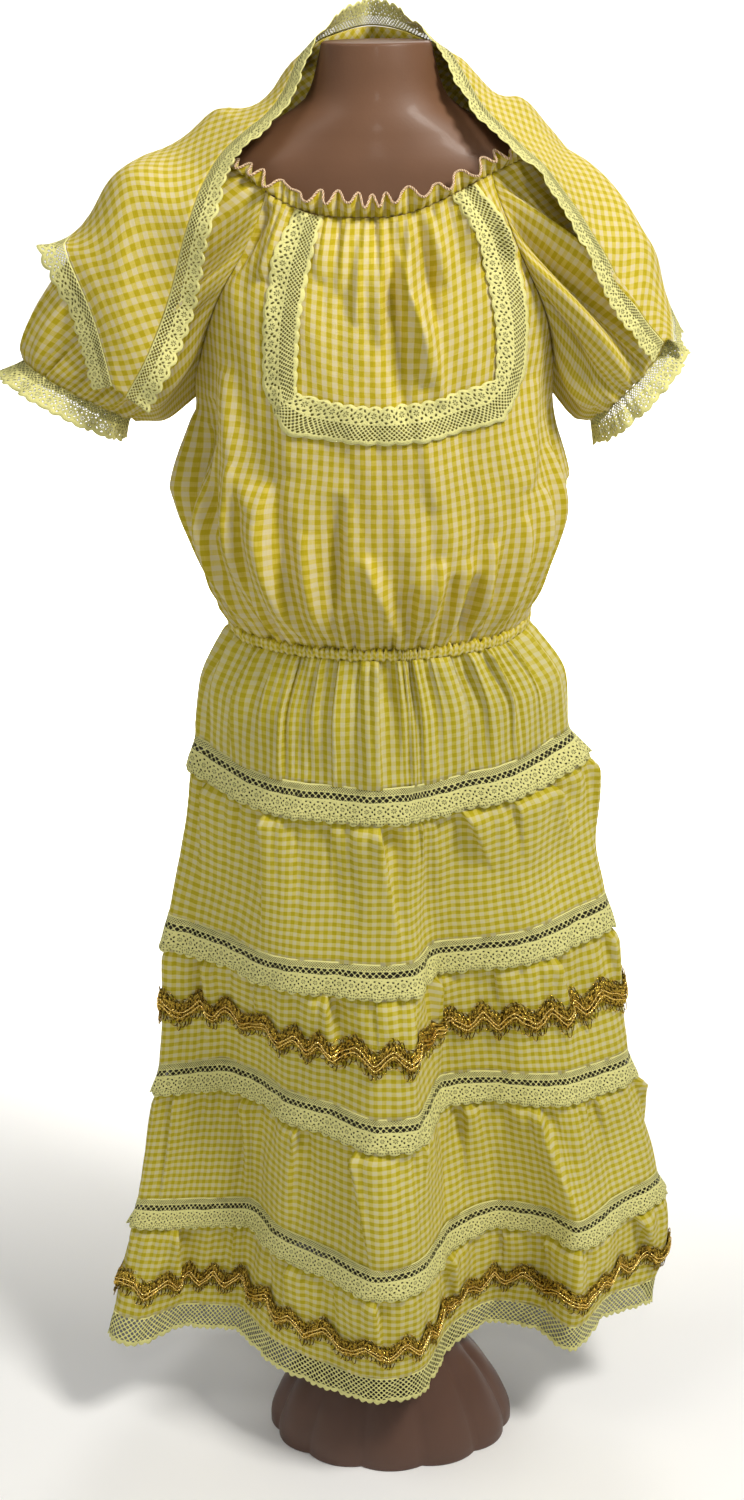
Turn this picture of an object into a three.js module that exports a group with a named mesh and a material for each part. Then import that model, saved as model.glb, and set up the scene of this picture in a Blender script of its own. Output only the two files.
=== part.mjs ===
// Tiered gingham santeria dress with a matching kerchief, on a limbless dress form.
// Millimetres, +Z up, the front faces -Y. The origin is the centre of the stand's underside.
// Left is -X and right is +X, as seen from the front.
import * as THREE from 'three';

// ---------------------------------------------------------------- driving dimensions
const CLOTH = 1.6;          // wall of cloth and lace
const BRAID = 2.6;          // thickness of the gold braid
const SEAM = 0.3;           // gap at a seam
const HALF_SEAM = SEAM / 2;
const LIFT = 0.4;           // gap under what lies on a panel

const WAIST_TOP = 1018;     // the casing round the waist elastic
const WAIST_LOW = 1002;
const NECK_ELASTIC = 1405;  // front of the neck elastic
const HEADING = 15;         // gathered heading above the neck elastic, at the front
const PRESSED = 0.7;        // how much of it the kerchief presses down on the shoulders
const UNDERARM = 1215;      // bodice height, measured at the front, where the sleeve seams meet
const SEAM_ANGLE = 42;      // raglan seam at the neck, in degrees from the front or the back
const LACE = 35;            // width of the beading lace between tiers
const HEM_LACE = 33;
const CUFF_LACE = 28;
const KERCHIEF_LACE = 26;
const BRAID_REACH = 30;     // height that the wavy braid sweeps

const SKIRT_COLUMNS = 48;
const FORM_COLUMNS = 40;
const FLUTES = 12;

// ---------------------------------------------------------------- curves through named rows
// Slopes of a smooth curve that never overshoots its rows; a period makes it closed.
function slopes(at, value, period) {
  const n = at.length;
  const step = (i) => (i === n - 1 ? at[0] + period - at[i] : at[i + 1] - at[i]);
  const rise = (i) => (value[(i + 1) % n] - value[i]) / step(i);
  return at.map((_, i) => {
    if (!period && (i === 0 || i === n - 1)) return rise(i === 0 ? 0 : n - 2);
    const before = rise((i + n - 1) % n);
    const after = rise(i);
    return before * after <= 0 ? 0 : (2 * before * after) / (before + after);
  });
}

function curve(at, value, period = 0) {
  const n = at.length;
  const slope = slopes(at, value, period);
  return (where) => {
    const x = period ? at[0] + ((((where - at[0]) % period) + period) % period) : where;
    let i = 0;
    const last = period ? n - 1 : n - 2;
    while (i < last && x >= at[i + 1]) i += 1;
    const next = (i + 1) % n;
    const width = (next === 0 ? at[0] + period : at[next]) - at[i];
    const t = Math.min(Math.max((x - at[i]) / width, 0), 1);
    const keep = (1 + 2 * t) * (1 - t) ** 2;
    const lean = t * (1 - t) ** 2 * width * slope[i] - t * t * (1 - t) * width * slope[next];
    return keep * value[i] + (1 - keep) * value[next] + lean;
  };
}

// One curve for each named column of a table, over the column called key.
function tableCurves(rows, key) {
  const sorted = [...rows].sort((a, b) => a[key] - b[key]);
  const at = sorted.map((row) => row[key]);
  const names = Object.keys(rows[0]).filter((name) => name !== key);
  return Object.fromEntries(names.map((name) => [name, curve(at, sorted.map((row) => row[name]))]));
}

const lerp = (a, b, t) => a + (b - a) * t;
const spread = (count, from, to) =>
  Array.from({ length: count + 1 }, (_, i) => lerp(from, to, i / count));
const radians = (degrees) => (degrees * Math.PI) / 180;

// ---------------------------------------------------------------- closed walls
// A panel holds its grid of points, the way out at each, and its triangles. Columns run round the
// body with the front going to +X, rows run down, and mirrored splits each side of the middle alike.
// The way out comes from the grid, unless the piece next to it gives the ways they share.
function makePanel(grid, { round = false, level = false, mirrored = false, ways = null } = {}) {
  const rows = grid.length;
  const columns = grid[0].length;
  const index = (r, c) => r * columns + (c % columns);
  const out = ways ?? grid.map((row, r) => row.map((_, c) => {
    const left = round ? (c + columns - 1) % columns : Math.max(c - 1, 0);
    const right = round ? (c + 1) % columns : Math.min(c + 1, columns - 1);
    const along = row[right].clone().sub(row[left]);
    const down = grid[Math.min(r + 1, rows - 1)][c].clone().sub(grid[Math.max(r - 1, 0)][c]);
    const way = down.cross(along);
    if (level) way.z = 0;
    return way.normalize();
  }));
  const cells = (fromRow, toRow, fromColumn, toColumn) => {
    const triangles = [];
    for (let r = fromRow; r < toRow; r += 1) {
      for (let c = fromColumn; c < toColumn; c += 1) triangles.push(...cell(r, c));
    }
    return triangles;
  };
  const cell = (r, c) => {
    const [a, b, d, e] = [index(r, c), index(r, c + 1), index(r + 1, c), index(r + 1, c + 1)];
    const falling = mirrored && c < (columns - 1) / 2;
    return falling ? [[a, e, b], [a, d, e]] : [[a, d, b], [b, d, e]];
  };
  const wide = round ? columns : columns - 1;
  return { points: grid.flat(), out: out.flat(), ways: out, cells, cell, rows: rows - 1, wide };
}

// The closed solid between two offsets of some of a panel's triangles.
function wall(panel, triangles, inside, outside) {
  const used = [...new Set(triangles.flat())];
  const place = new Map(used.map((id, i) => [id, i]));
  const at = (id, by) => panel.points[id].clone().addScaledVector(panel.out[id], by);
  const vertices = [...used.map((id) => at(id, outside)), ...used.map((id) => at(id, inside))];
  const under = used.length;
  const faces = [];
  const edges = new Set(triangles.flatMap(([a, b, c]) => [`${a},${b}`, `${b},${c}`, `${c},${a}`]));
  triangles.forEach((triangle) => {
    const [a, b, c] = triangle.map((id) => place.get(id));
    faces.push(a, b, c, under + c, under + b, under + a);
  });
  edges.forEach((edge) => {
    const [from, to] = edge.split(',').map(Number);
    if (edges.has(`${to},${from}`)) return;
    const [i, j] = [place.get(from), place.get(to)];
    faces.push(j, i, under + i, j, under + i, under + j);
  });
  const geometry = new THREE.BufferGeometry().setFromPoints(vertices);
  geometry.setIndex(faces);
  return geometry;
}

const clothWall = (panel) =>
  wall(panel, panel.cells(0, panel.rows, 0, panel.wide), -CLOTH, 0);

// ---------------------------------------------------------------- the dress form
// Sections of the torso, from the neck cut down: half width, front and back.
const TORSO = [
  { z: 1547, half: 49, front: -50, back: 48 },
  { z: 1530, half: 53, front: -53, back: 50 },
  { z: 1512, half: 58, front: -55, back: 54 },
  { z: 1497, half: 66, front: -58, back: 60 },
  { z: 1482, half: 90, front: -63, back: 68 },
  { z: 1466, half: 114, front: -66, back: 72 },
  { z: 1448, half: 145, front: -70, back: 76 },
  { z: 1428, half: 158, front: -73, back: 76 },
  { z: 1400, half: 166, front: -79, back: 82 },
  { z: 1350, half: 166, front: -92, back: 92 },
  { z: 1300, half: 156, front: -108, back: 98 },
  { z: 1240, half: 146, front: -106, back: 98 },
  { z: 1150, half: 138, front: -98, back: 92 },
  { z: 1010, half: 131, front: -94, back: 86 },
  { z: 930, half: 148, front: -94, back: 100 },
  { z: 860, half: 154, front: -84, back: 108 },
  { z: 790, half: 146, front: -66, back: 100 },
  { z: 735, half: 116, front: -38, back: 76 },
  { z: 700, half: 78, front: -12, back: 52 },
];

// Sections of the fluted stand: half width, half depth, how far back, and the depth of a flute.
const STAND = [
  { z: 699.7, half: 58, deep: 30, middle: 22, flute: 0 },
  { z: 420, half: 54, deep: 36, middle: 24, flute: 0 },
  { z: 250, half: 60, deep: 42, middle: 25, flute: 1 },
  { z: 160, half: 74, deep: 48, middle: 26, flute: 3 },
  { z: 115, half: 87, deep: 56, middle: 26, flute: 4 },
  { z: 82, half: 111, deep: 72, middle: 24, flute: 5 },
  { z: 47, half: 131, deep: 86, middle: 22, flute: 6 },
  { z: 12, half: 142, deep: 94, middle: 20, flute: 6 },
  { z: 0, half: 142, deep: 94, middle: 20, flute: 6 },
];

const torsoRing = ({ z, half, front, back }) => spread(FORM_COLUMNS, 0, 2 * Math.PI).slice(0, -1)
  .map((a) => new THREE.Vector3(half * Math.sin(a), -Math.cos(a) * (Math.cos(a) > 0 ? -front : back), z));

const standRing = ({ z, half, deep, middle, flute }) => spread(4 * FLUTES, 0, 2 * Math.PI).slice(0, -1)
  .map((a) => {
    const dent = flute * (1 - Math.abs(Math.cos((FLUTES * a) / 2)));
    return new THREE.Vector3((half - dent) * Math.sin(a), middle - (deep - dent) * Math.cos(a), z);
  });

// A stack of rings with flat ends.
function stack(rings) {
  const columns = rings[0].length;
  const faces = [];
  const centre = (ring) => ring.reduce((sum, p) => sum.add(p), new THREE.Vector3()).divideScalar(columns);
  const top = rings.length * columns;
  for (let c = 0; c < columns; c += 1) {
    const next = (c + 1) % columns;
    rings.slice(1).forEach((_, r) => {
      const [a, b] = [r * columns + c, r * columns + next];
      faces.push(a, a + columns, b, b, a + columns, b + columns);
    });
    const low = (rings.length - 1) * columns;
    faces.push(top, c, next, top + 1, low + next, low + c);
  }
  const geometry = new THREE.BufferGeometry()
    .setFromPoints([...rings.flat(), centre(rings[0]), centre(rings.at(-1))]);
  geometry.setIndex(faces);
  return geometry;
}

// ---------------------------------------------------------------- the bodice
// Sections, named by their height at the front: the height at each side and at the back, the reach to
// each side, the front and back planes, and how late the section climbs towards each side.
const BODICE = [
  { high: 1405, leftSide: 1448, rightSide: 1451.5, backHigh: 1456, left: 148, right: 150, front: -89, back: 84, leftClimb: 2.4, rightClimb: 1.05 },
  { high: 1350, leftSide: 1396, rightSide: 1400, backHigh: 1402, left: 166, right: 166, front: -112, back: 106, leftClimb: 1.8, rightClimb: 1 },
  { high: 1290, leftSide: 1330, rightSide: 1330, backHigh: 1336, left: 174, right: 172, front: -133, back: 120, leftClimb: 1, rightClimb: 1 },
  { high: 1215, leftSide: 1232, rightSide: 1232, backHigh: 1250, left: 172, right: 162, front: -144, back: 128, leftClimb: 1, rightClimb: 1 },
  { high: 1130, leftSide: 1140, rightSide: 1140, backHigh: 1150, left: 190, right: 180, front: -142, back: 134, leftClimb: 1, rightClimb: 1 },
  { high: 1055, leftSide: 1058, rightSide: 1058, backHigh: 1062, left: 172, right: 160, front: -128, back: 122, leftClimb: 1, rightClimb: 1 },
  { high: 1018, leftSide: 1018, rightSide: 1018, backHigh: 1018, left: 151, right: 144, front: -113, back: 107, leftClimb: 1, rightClimb: 1 },
];
const bodice = tableCurves(BODICE, 'high');
const sideOf = (angle) => (Math.sin(angle) < 0 ? 'left' : 'right');
const planeOf = (angle) => (Math.cos(angle) > 0 ? 'front' : 'back');

// A point of the bodice: its height at the front, and the angle from the front towards +X.
function bodicePoint(high, angle) {
  const [s, c] = [Math.sin(angle), Math.cos(angle)];
  const side = sideOf(angle);
  const middle = c > 0 ? high : bodice.backHigh(high);
  const climb = (s * s * (3 - 2 * Math.abs(s))) ** bodice[`${side}Climb`](high);
  const y = Math.abs(c) * bodice[planeOf(angle)](high);
  return new THREE.Vector3(s * bodice[side](high), y, lerp(middle, bodice[`${side}Side`](high), climb));
}

// The level way out of the bodice's oval section.
function bodiceWay(high, angle) {
  const reach = bodice[sideOf(angle)](high);
  const deep = Math.abs(bodice[planeOf(angle)](high));
  return new THREE.Vector3(Math.sin(angle) / reach, -Math.cos(angle) / deep, 0).normalize();
}

// The raglan seam leaves the neck and curves out to the side seam, which it meets at the underarm.
function seamAngle(high) {
  const fall = Math.min((NECK_ELASTIC - high) / (NECK_ELASTIC - UNDERARM), 1);
  return radians(lerp(SEAM_ANGLE, 90, Math.max(fall, 0) ** 2.2));
}

const ARMHOLE_ROWS = [1405, 1370, 1330, 1290, 1250, UNDERARM];
const BODICE_ROWS = [...ARMHOLE_ROWS, 1170, 1120, 1075, 1040, WAIST_TOP];

// Lines of the chest lace, as shares of the half width: outer and inner edge on each side.
const CHEST_LACE = [
  { high: 1405, outerLeft: -0.49, innerLeft: -0.32, innerRight: 0.42, outerRight: 0.56 },
  { high: 1330, outerLeft: -0.57, innerLeft: -0.38, innerRight: 0.54, outerRight: 0.71 },
  { high: 1250, outerLeft: -0.60, innerLeft: -0.42, innerRight: 0.60, outerRight: 0.79 },
  { high: 1215, outerLeft: -0.60, innerLeft: -0.43, innerRight: 0.61, outerRight: 0.80 },
  { high: 1018, outerLeft: -0.60, innerLeft: -0.43, innerRight: 0.58, outerRight: 0.76 },
];
const chestLace = tableCurves(CHEST_LACE, 'high');

// Column angles of the bodice front at one height; the lace edges are columns of their own.
function frontAngles(high) {
  const edge = seamAngle(high) - SEAM / 300;
  const [a, b, c, d] = ['outerLeft', 'innerLeft', 'innerRight', 'outerRight']
    .map((name) => Math.asin(chestLace[name](high)));
  return [-edge, lerp(-edge, a, 0.5), a, b, lerp(b, c, 0.25), lerp(b, c, 0.5), lerp(b, c, 0.75), c, d,
    lerp(d, edge, 0.5), edge];
}
const LACE_COLUMNS = { left: 2, right: 7 };
const backAngles = (high) => {
  const edge = seamAngle(high) - SEAM / 300;
  return spread(10, Math.PI - edge, Math.PI + edge);
};

function bodicePanel(angles, mirrored) {
  const over = (what) => BODICE_ROWS.map((high) => angles(high).map((angle) => what(high, angle)));
  return makePanel(over(bodicePoint), { ways: over(bodiceWay), mirrored });
}
const frontPanel = bodicePanel(frontAngles, true);
const backPanel = bodicePanel(backAngles, false);

// One length of lace on the front's own cells: down, folded across at a cut corner, and up.
function chestLaceWall() {
  const down = ARMHOLE_ROWS.length - 2;
  const { left, right } = LACE_COLUMNS;
  return wall(frontPanel, [
    ...frontPanel.cells(0, down, left, left + 1),
    frontPanel.cell(down, left)[0],
    ...frontPanel.cells(down, down + 1, left + 1, right),
    frontPanel.cell(down, right)[0],
    ...frontPanel.cells(0, down, right, right + 1),
  ], LIFT, LIFT + CLOTH);
}

// ---------------------------------------------------------------- the sleeves
// Where each cuff is held: its centre, the ways to its inner and front points, its two half widths,
// and how far the puff stands out below, in front, on top and behind.
const SLEEVES = {
  left: {
    side: -1, centre: [-286, 2, 1240], inner: [0.875, -0.07, -0.48], front: [0, -1, 0.1],
    wide: 55, deep: 48, puff: { below: 14, front: 4, above: 34, behind: 24 },
  },
  right: {
    side: 1, centre: [236, 12, 1243], inner: [-0.65, -0.38, -0.66], front: [0.28, -0.92, 0.27],
    wide: 50, deep: 46, puff: { below: 12, front: 14, above: 22, behind: 20 },
  },
};
const SHOULDER_CELLS = 6;   // columns of a sleeve along the neck elastic
const ARM_ROWS = 5;
const SHOULDER_MIDDLE = new THREE.Vector3(150, 0, 1350);

// The loop where a sleeve meets the bodice and the neck elastic: up the front seam, over, down the back.
function sleeveSeam(side) {
  const down = ARMHOLE_ROWS.slice(0, -1).map((high) => [high, seamAngle(high) + SEAM / 150]);
  const front = [[UNDERARM + 2 * SEAM, Math.PI / 2], ...[...down].reverse()];
  const [[, neck]] = down;
  const over = spread(SHOULDER_CELLS, neck, Math.PI - neck).slice(1, -1).map((angle) => [NECK_ELASTIC, angle]);
  const back = down.map(([high, angle]) => [high, Math.PI - angle]);
  return [...front, ...over, ...back].map(([high, angle]) => bodicePoint(high, side * angle));
}

function sleeveRows({ side, centre, inner, front, wide, deep, puff }) {
  const seam = sleeveSeam(side);
  const middle = new THREE.Vector3(...centre);
  const ways = [inner, front].map((way) => new THREE.Vector3(...way).normalize());
  const shoulder = SHOULDER_MIDDLE.clone().multiply(new THREE.Vector3(side, 1, 1));
  const armhole = ARMHOLE_ROWS.length - 1;
  const turn = (i) => {
    const shares = [[0, 0], [armhole, 0.36], [armhole + SHOULDER_CELLS, 0.64], [seam.length, 1]];
    const k = shares.findIndex(([at]) => i < at);
    const [[from, low], [to, high]] = [shares[k - 1], shares[k]];
    return 2 * Math.PI * lerp(low, high, (i - from) / (to - from));
  };
  const rows = spread(ARM_ROWS, 0, 1).map((w) => seam.map((start, i) => {
    const a = turn(i);
    const cuff = middle.clone().addScaledVector(ways[0], wide * Math.cos(a))
      .addScaledVector(ways[1], deep * Math.sin(a));
    const point = start.clone().lerp(cuff, w);
    const outward = point.clone().sub(shoulder.clone().lerp(middle, w)).normalize();
    const [c, s] = [Math.cos(a), Math.sin(a)];
    const full = c * c * (c > 0 ? puff.below : puff.above) + s * s * (s > 0 ? puff.front : puff.behind);
    return point.addScaledVector(outward, w === 1 ? 0 : full * Math.sin(Math.PI * w ** 1.25) ** 0.7);
  }));
  return side > 0 ? rows : rows.map((row) => [row[0], ...row.slice(1).reverse()]);
}

function cuffLace(rows) {
  const edge = rows.at(-1);
  const before = rows.at(-2);
  const centre = (row) => row.reduce((sum, p) => sum.add(p), new THREE.Vector3()).divideScalar(row.length);
  const along = centre(edge).sub(centre(before)).normalize();
  const step = (by) => edge.map((p) => {
    const away = p.clone().sub(centre(edge)).normalize();
    return p.clone().addScaledVector(along, by * 0.9).addScaledVector(away, by * 0.42);
  });
  return makePanel([step(SEAM), step(CUFF_LACE)], { round: true });
}

// ---------------------------------------------------------------- the neck heading
function neckHeading() {
  const front = frontAngles(NECK_ELASTIC);
  const back = backAngles(NECK_ELASTIC);
  const shoulder = (from, to) => spread(SHOULDER_CELLS, from, to).slice(1, -1);
  const turns = [...front, ...shoulder(front.at(-1), back[0]), ...back,
    ...shoulder(back.at(-1), 2 * Math.PI + front[0])];
  const ring = (up, reach) => turns.map((a) => {
    const p = bodicePoint(NECK_ELASTIC, a);
    const pressed = up > SEAM ? 1 - PRESSED * Math.sin(a) ** 4 : 1;
    return p.addScaledVector(bodiceWay(NECK_ELASTIC, a), reach).setZ(p.z + up * pressed);
  });
  const ways = [0, 1].map(() => turns.map((a) => bodiceWay(NECK_ELASTIC, a)));
  return makePanel([ring(HEADING, 3), ring(SEAM, 0)], { round: true, ways });
}

// ---------------------------------------------------------------- the skirt
// How wide the skirt hangs, by its height at the front: the reach to each side, and how much higher
// the sides hang.
const WIDTHS = [
  { high: 1002, left: 151, right: 144, riseLeft: 0, riseRight: 0 },
  { high: 935, left: 184, right: 183, riseLeft: 4, riseRight: 4 },
  { high: 868, left: 192, right: 190, riseLeft: 14, riseRight: 14 },
  { high: 810, left: 202, right: 218, riseLeft: 14, riseRight: 14 },
  { high: 735, left: 214, right: 222, riseLeft: 14, riseRight: 14 },
  { high: 667, left: 229, right: 236, riseLeft: 14, riseRight: 14 },
  { high: 495, left: 252, right: 268, riseLeft: -16, riseRight: -12 },
  { high: 316, left: 285, right: 310, riseLeft: -11, riseRight: -4 },
  { high: 250, left: 300, right: 322, riseLeft: -6, riseRight: 6 },
  { high: 129, left: 327, right: 306, riseLeft: 2, riseRight: 16 },
];
const skirt = tableCurves(WIDTHS, 'high');

// Ridges and hollows of the hanging cloth, from the left side round the front to the right side and
// back: where each lies across the half width, and its y at five levels.
const CREASES = [
  { across: -1.00, yoke: 8, second: 0, third: 32, fourth: 30, hem: 12 },
  { across: -0.90, yoke: -20, second: -12, third: 30, fourth: 24, hem: -8 },
  { across: -0.74, yoke: -62, second: -34, third: 30, fourth: 21, hem: 26 },
  { across: -0.56, yoke: -90, second: -70, third: -2, fourth: 18, hem: 20 },
  { across: -0.42, yoke: -99, second: -84, third: -48, fourth: -40, hem: -38 },
  { across: -0.24, yoke: -104, second: -88, third: -76, fourth: -80, hem: -80 },
  { across: -0.03, yoke: -112, second: -95, third: -112, fourth: -125, hem: -108 },
  { across: 0.10, yoke: -108, second: -92, third: -108, fourth: -108, hem: -97 },
  { across: 0.22, yoke: -100, second: -46, third: -24, fourth: -34, hem: -20 },
  { across: 0.40, yoke: -82, second: -41, third: -14, fourth: 2, hem: 26 },
  { across: 0.56, yoke: -72, second: -36, third: -18, fourth: -10, hem: 6 },
  { across: 0.67, yoke: -60, second: -26, third: -16, fourth: -38, hem: -34 },
  { across: 0.82, yoke: -30, second: 2, third: 4, fourth: 8, hem: 22 },
  { across: 1.00, yoke: 22, second: 41, third: 50, fourth: 66, hem: 44 },
  { across: 0.90, yoke: 76, second: 90, third: 105, fourth: 118, hem: 98 },
  { across: 0.72, yoke: 104, second: 118, third: 120, fourth: 112, hem: 92 },
  { across: 0.50, yoke: 120, second: 126, third: 146, fourth: 168, hem: 178 },
  { across: 0.30, yoke: 128, second: 122, third: 118, fourth: 108, hem: 100 },
  { across: 0.08, yoke: 132, second: 136, third: 156, fourth: 176, hem: 190 },
  { across: -0.12, yoke: 132, second: 130, third: 132, fourth: 128, hem: 120 },
  { across: -0.34, yoke: 128, second: 132, third: 148, fourth: 172, hem: 186 },
  { across: -0.55, yoke: 116, second: 116, third: 112, fourth: 104, hem: 96 },
  { across: -0.76, yoke: 98, second: 106, third: 122, fourth: 140, hem: 150 },
  { across: -0.92, yoke: 62, second: 72, third: 84, fourth: 88, hem: 80 },
];
const LEVELS = [['yoke', 868], ['second', 667], ['third', 495], ['fourth', 316], ['hem', 129]];
const FRONT_CREASES = 14;   // the rows above that lie in front, sides included
const WAIST_FRONT = -113;
const WAIST_BACK = 107;

const sideWidth = (across, high) => across * (across < 0 ? skirt.left(high) : skirt.right(high));

// At the waist the cloth still lies on an oval, and the creases grow from there.
const waistReach = CREASES.map(({ across }, i) =>
  Math.sqrt(Math.max(1 - across ** 2, 0)) * (i < FRONT_CREASES ? WAIST_FRONT : WAIST_BACK));
const reaches = [
  { high: 1002, y: waistReach },
  { high: 935, y: CREASES.map((crease, i) => 1.05 * lerp(waistReach[i], crease.yoke, 0.6)) },
  ...LEVELS.map(([name, high]) => ({ high, y: CREASES.map((crease) => crease[name]) })),
];
// Each crease's share of the way round the cloth, the mean over the five levels.
const creaseShares = (() => {
  const sums = CREASES.map(() => 0);
  LEVELS.forEach(([name, high]) => {
    const plan = CREASES.map((crease) => [sideWidth(crease.across, high), crease[name]]);
    const steps = plan.map(([x, y], i) => {
      const [nextX, nextY] = plan[(i + 1) % plan.length];
      return Math.hypot(nextX - x, nextY - y);
    });
    const total = steps.reduce((a, b) => a + b);
    let run = 0;
    steps.forEach((step, i) => {
      sums[i] += run / total / LEVELS.length;
      run += step;
    });
  });
  return sums;
})();
const acrossAt = curve(creaseShares, CREASES.map((crease) => crease.across), 1);
const reachAt = reaches.map(({ high, y }) => ({ high, y: curve(creaseShares, y, 1) })).reverse();

// A line of the skirt down one share of the way round the cloth, by its height at the front.
function skirtLine(share) {
  const across = acrossAt(share);
  const y = curve(reachAt.map(({ high }) => high), reachAt.map((level) => level.y(share)));
  const rise = across < 0 ? skirt.riseLeft : skirt.riseRight;
  return (high) => new THREE.Vector3(sideWidth(across, high), y(high), high + across * across * rise(high));
}
const skirtLines = spread(SKIRT_COLUMNS, 0, 1).slice(0, -1).map(skirtLine);
const skirtPanel = (heights) =>
  makePanel(heights.map((high) => skirtLines.map((line) => line(high))), { round: true, level: true });

// Each band of the skirt from the waist down, with its top and bottom; a braid lies on a row of its own.
const TIERS = [
  { name: 'skirt_yoke', top: WAIST_LOW, low: 868 },
  { name: 'lace_band_1', top: 868, low: 868 - LACE },
  { name: 'tier_2', top: 868 - LACE, low: 667 },
  { name: 'lace_band_2', top: 667, low: 667 - LACE },
  { name: 'tier_3', top: 667 - LACE, low: 495, braid: 'gold_braid_upper', braidMiddle: 566 },
  { name: 'lace_band_3', top: 495, low: 495 - LACE },
  { name: 'tier_4', top: 495 - LACE, low: 316 },
  { name: 'lace_band_4', top: 316, low: 316 - LACE },
  { name: 'tier_5', top: 316 - LACE, low: 129 + HEM_LACE, braid: 'gold_braid_lower', braidMiddle: 205 },
  { name: 'hem_lace', top: 129 + HEM_LACE, low: 129 },
];

function skirtPieces() {
  const pieces = {};
  TIERS.forEach(({ name, top, low, braid, braidMiddle }) => {
    const ends = [top - HALF_SEAM, low + HALF_SEAM];
    const lace = name.includes('lace');
    const rows = braid
      ? [ends[0], braidMiddle + BRAID_REACH / 2, braidMiddle - BRAID_REACH / 2, ends[1]]
      : spread(lace ? 1 : 2, ...ends);
    const panel = skirtPanel(rows);
    pieces[name] = clothWall(panel);
    if (braid) {
      pieces[braid] = wall(panel, panel.cells(1, 2, 0, SKIRT_COLUMNS), LIFT, LIFT + BRAID);
    }
  });
  return pieces;
}

function waistCasing() {
  const middle = (WAIST_TOP + WAIST_LOW) / 2;
  const flat = (z, reach) => skirtLines.map((line) => {
    const p = line(WAIST_LOW);
    return p.addScaledVector(new THREE.Vector3(p.x, p.y, 0).normalize(), reach).setZ(z);
  });
  const rings = [flat(WAIST_TOP - SEAM, 0), flat(middle, 2.5), flat(WAIST_LOW + SEAM, 0)];
  return makePanel(rings, { round: true, level: true });
}

// ---------------------------------------------------------------- the kerchief
// A three-cornered kerchief. Sections along its long edge, by the distance from its middle: the long
// edge round the neck, the ridge over the shoulder, the blade behind, and the short edge below.
const KERCHIEF = [
  { along: -470, edge: [-232, -86, 1249], ridge: [-236, -85, 1252], blade: [-240, -84, 1255], hem: [-243, -82, 1258] },
  { along: -430, edge: [-212, -92, 1282], ridge: [-228, -88, 1291], blade: [-242, -82, 1300], hem: [-254, -74, 1306] },
  { along: -379, edge: [-190, -92, 1330], ridge: [-226, -80, 1352], blade: [-258, -60, 1370], hem: [-284, -34, 1378] },
  { along: -311, edge: [-170, -84, 1396], ridge: [-226, -36, 1438], blade: [-254, 10, 1416], hem: [-264, 56, 1388] },
  { along: -251, edge: [-146, -66, 1448], ridge: [-198, 14, 1465], blade: [-226, 78, 1430], hem: [-212, 118, 1378] },
  { along: -175, edge: [-100, -28, 1492], ridge: [-130, 30, 1494], blade: [-160, 108, 1430], hem: [-144, 138, 1298] },
  { along: -95, edge: [-65, 12, 1540], ridge: [-82, 52, 1517], blade: [-92, 130, 1386], hem: [-66, 152, 1210] },
  { along: 0, edge: [-3, 90, 1556], ridge: [-3, 104, 1508], blade: [0, 134, 1330], hem: [4, 158, 1092] },
  { along: 95, edge: [63, 14, 1538], ridge: [80, 52, 1521], blade: [92, 130, 1388], hem: [72, 152, 1210] },
  { along: 175, edge: [97, -37, 1490], ridge: [124, 27, 1495], blade: [158, 108, 1430], hem: [146, 138, 1298] },
  { along: 251, edge: [147, -68, 1441], ridge: [176, 21, 1457], blade: [208, 84, 1410], hem: [200, 122, 1360] },
  { along: 311, edge: [179, -70, 1398], ridge: [214, 6, 1423], blade: [236, 50, 1394], hem: [246, 90, 1360] },
  { along: 379, edge: [217, -56, 1342], ridge: [246, -20, 1368], blade: [257, 6, 1353], hem: [266, 34, 1320] },
  { along: 430, edge: [243, -48, 1306], ridge: [256, -34, 1314], blade: [263, -22, 1310], hem: [268, -10, 1302] },
  { along: 470, edge: [262, -42, 1284], ridge: [266, -38, 1285], blade: [269, -34, 1284], hem: [272, -30, 1282] },
];
const KERCHIEF_COLUMNS = 22;
const KERCHIEF_ROWS = 6;

// A smooth curve through one section's four points, by the share of its length.
function sectionCurve(section) {
  const points = ['edge', 'ridge', 'blade', 'hem'].map((name) => section[name]);
  const run = [0];
  points.slice(1).forEach((p, i) => run.push(run[i] + Math.hypot(...p.map((v, k) => v - points[i][k]))));
  const shares = run.map((length) => length / run.at(-1));
  const axes = [0, 1, 2].map((k) => curve(shares, points.map((p) => p[k])));
  return (share) => axes.map((axis) => axis(share));
}

function kerchiefGrid() {
  const along = KERCHIEF.map((section) => section.along);
  const sections = KERCHIEF.map(sectionCurve);
  const stations = spread(KERCHIEF_COLUMNS, along.at(-1), along[0]);
  return spread(KERCHIEF_ROWS, 0, 1).map((share) => {
    const crossing = sections.map((section) => section(share));
    const axes = [0, 1, 2].map((k) => curve(along, crossing.map((p) => p[k])));
    return stations.map((u) => new THREE.Vector3(...axes.map((axis) => axis(u))));
  });
}

// A lace strip that carries the cloth on past some columns of its top or bottom row.
function edgeLace(cloth, grid, top, from, to) {
  const edge = grid.at(top ? 0 : -1).slice(from, to);
  const ways = cloth.ways.at(top ? 0 : -1).slice(from, to);
  const away = edge.map((p, i) => {
    const along = edge[Math.min(i + 1, edge.length - 1)].clone().sub(edge[Math.max(i - 1, 0)]);
    return along.cross(ways[i]).multiplyScalar(top ? -1 : 1).normalize();
  });
  const at = (by) => edge.map((p, i) => p.clone().addScaledVector(away[i], by));
  const rows = [at(2 * SEAM), at(KERCHIEF_LACE)];
  return clothWall(makePanel(top ? rows.reverse() : rows, { ways: [ways, ways] }));
}

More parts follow.
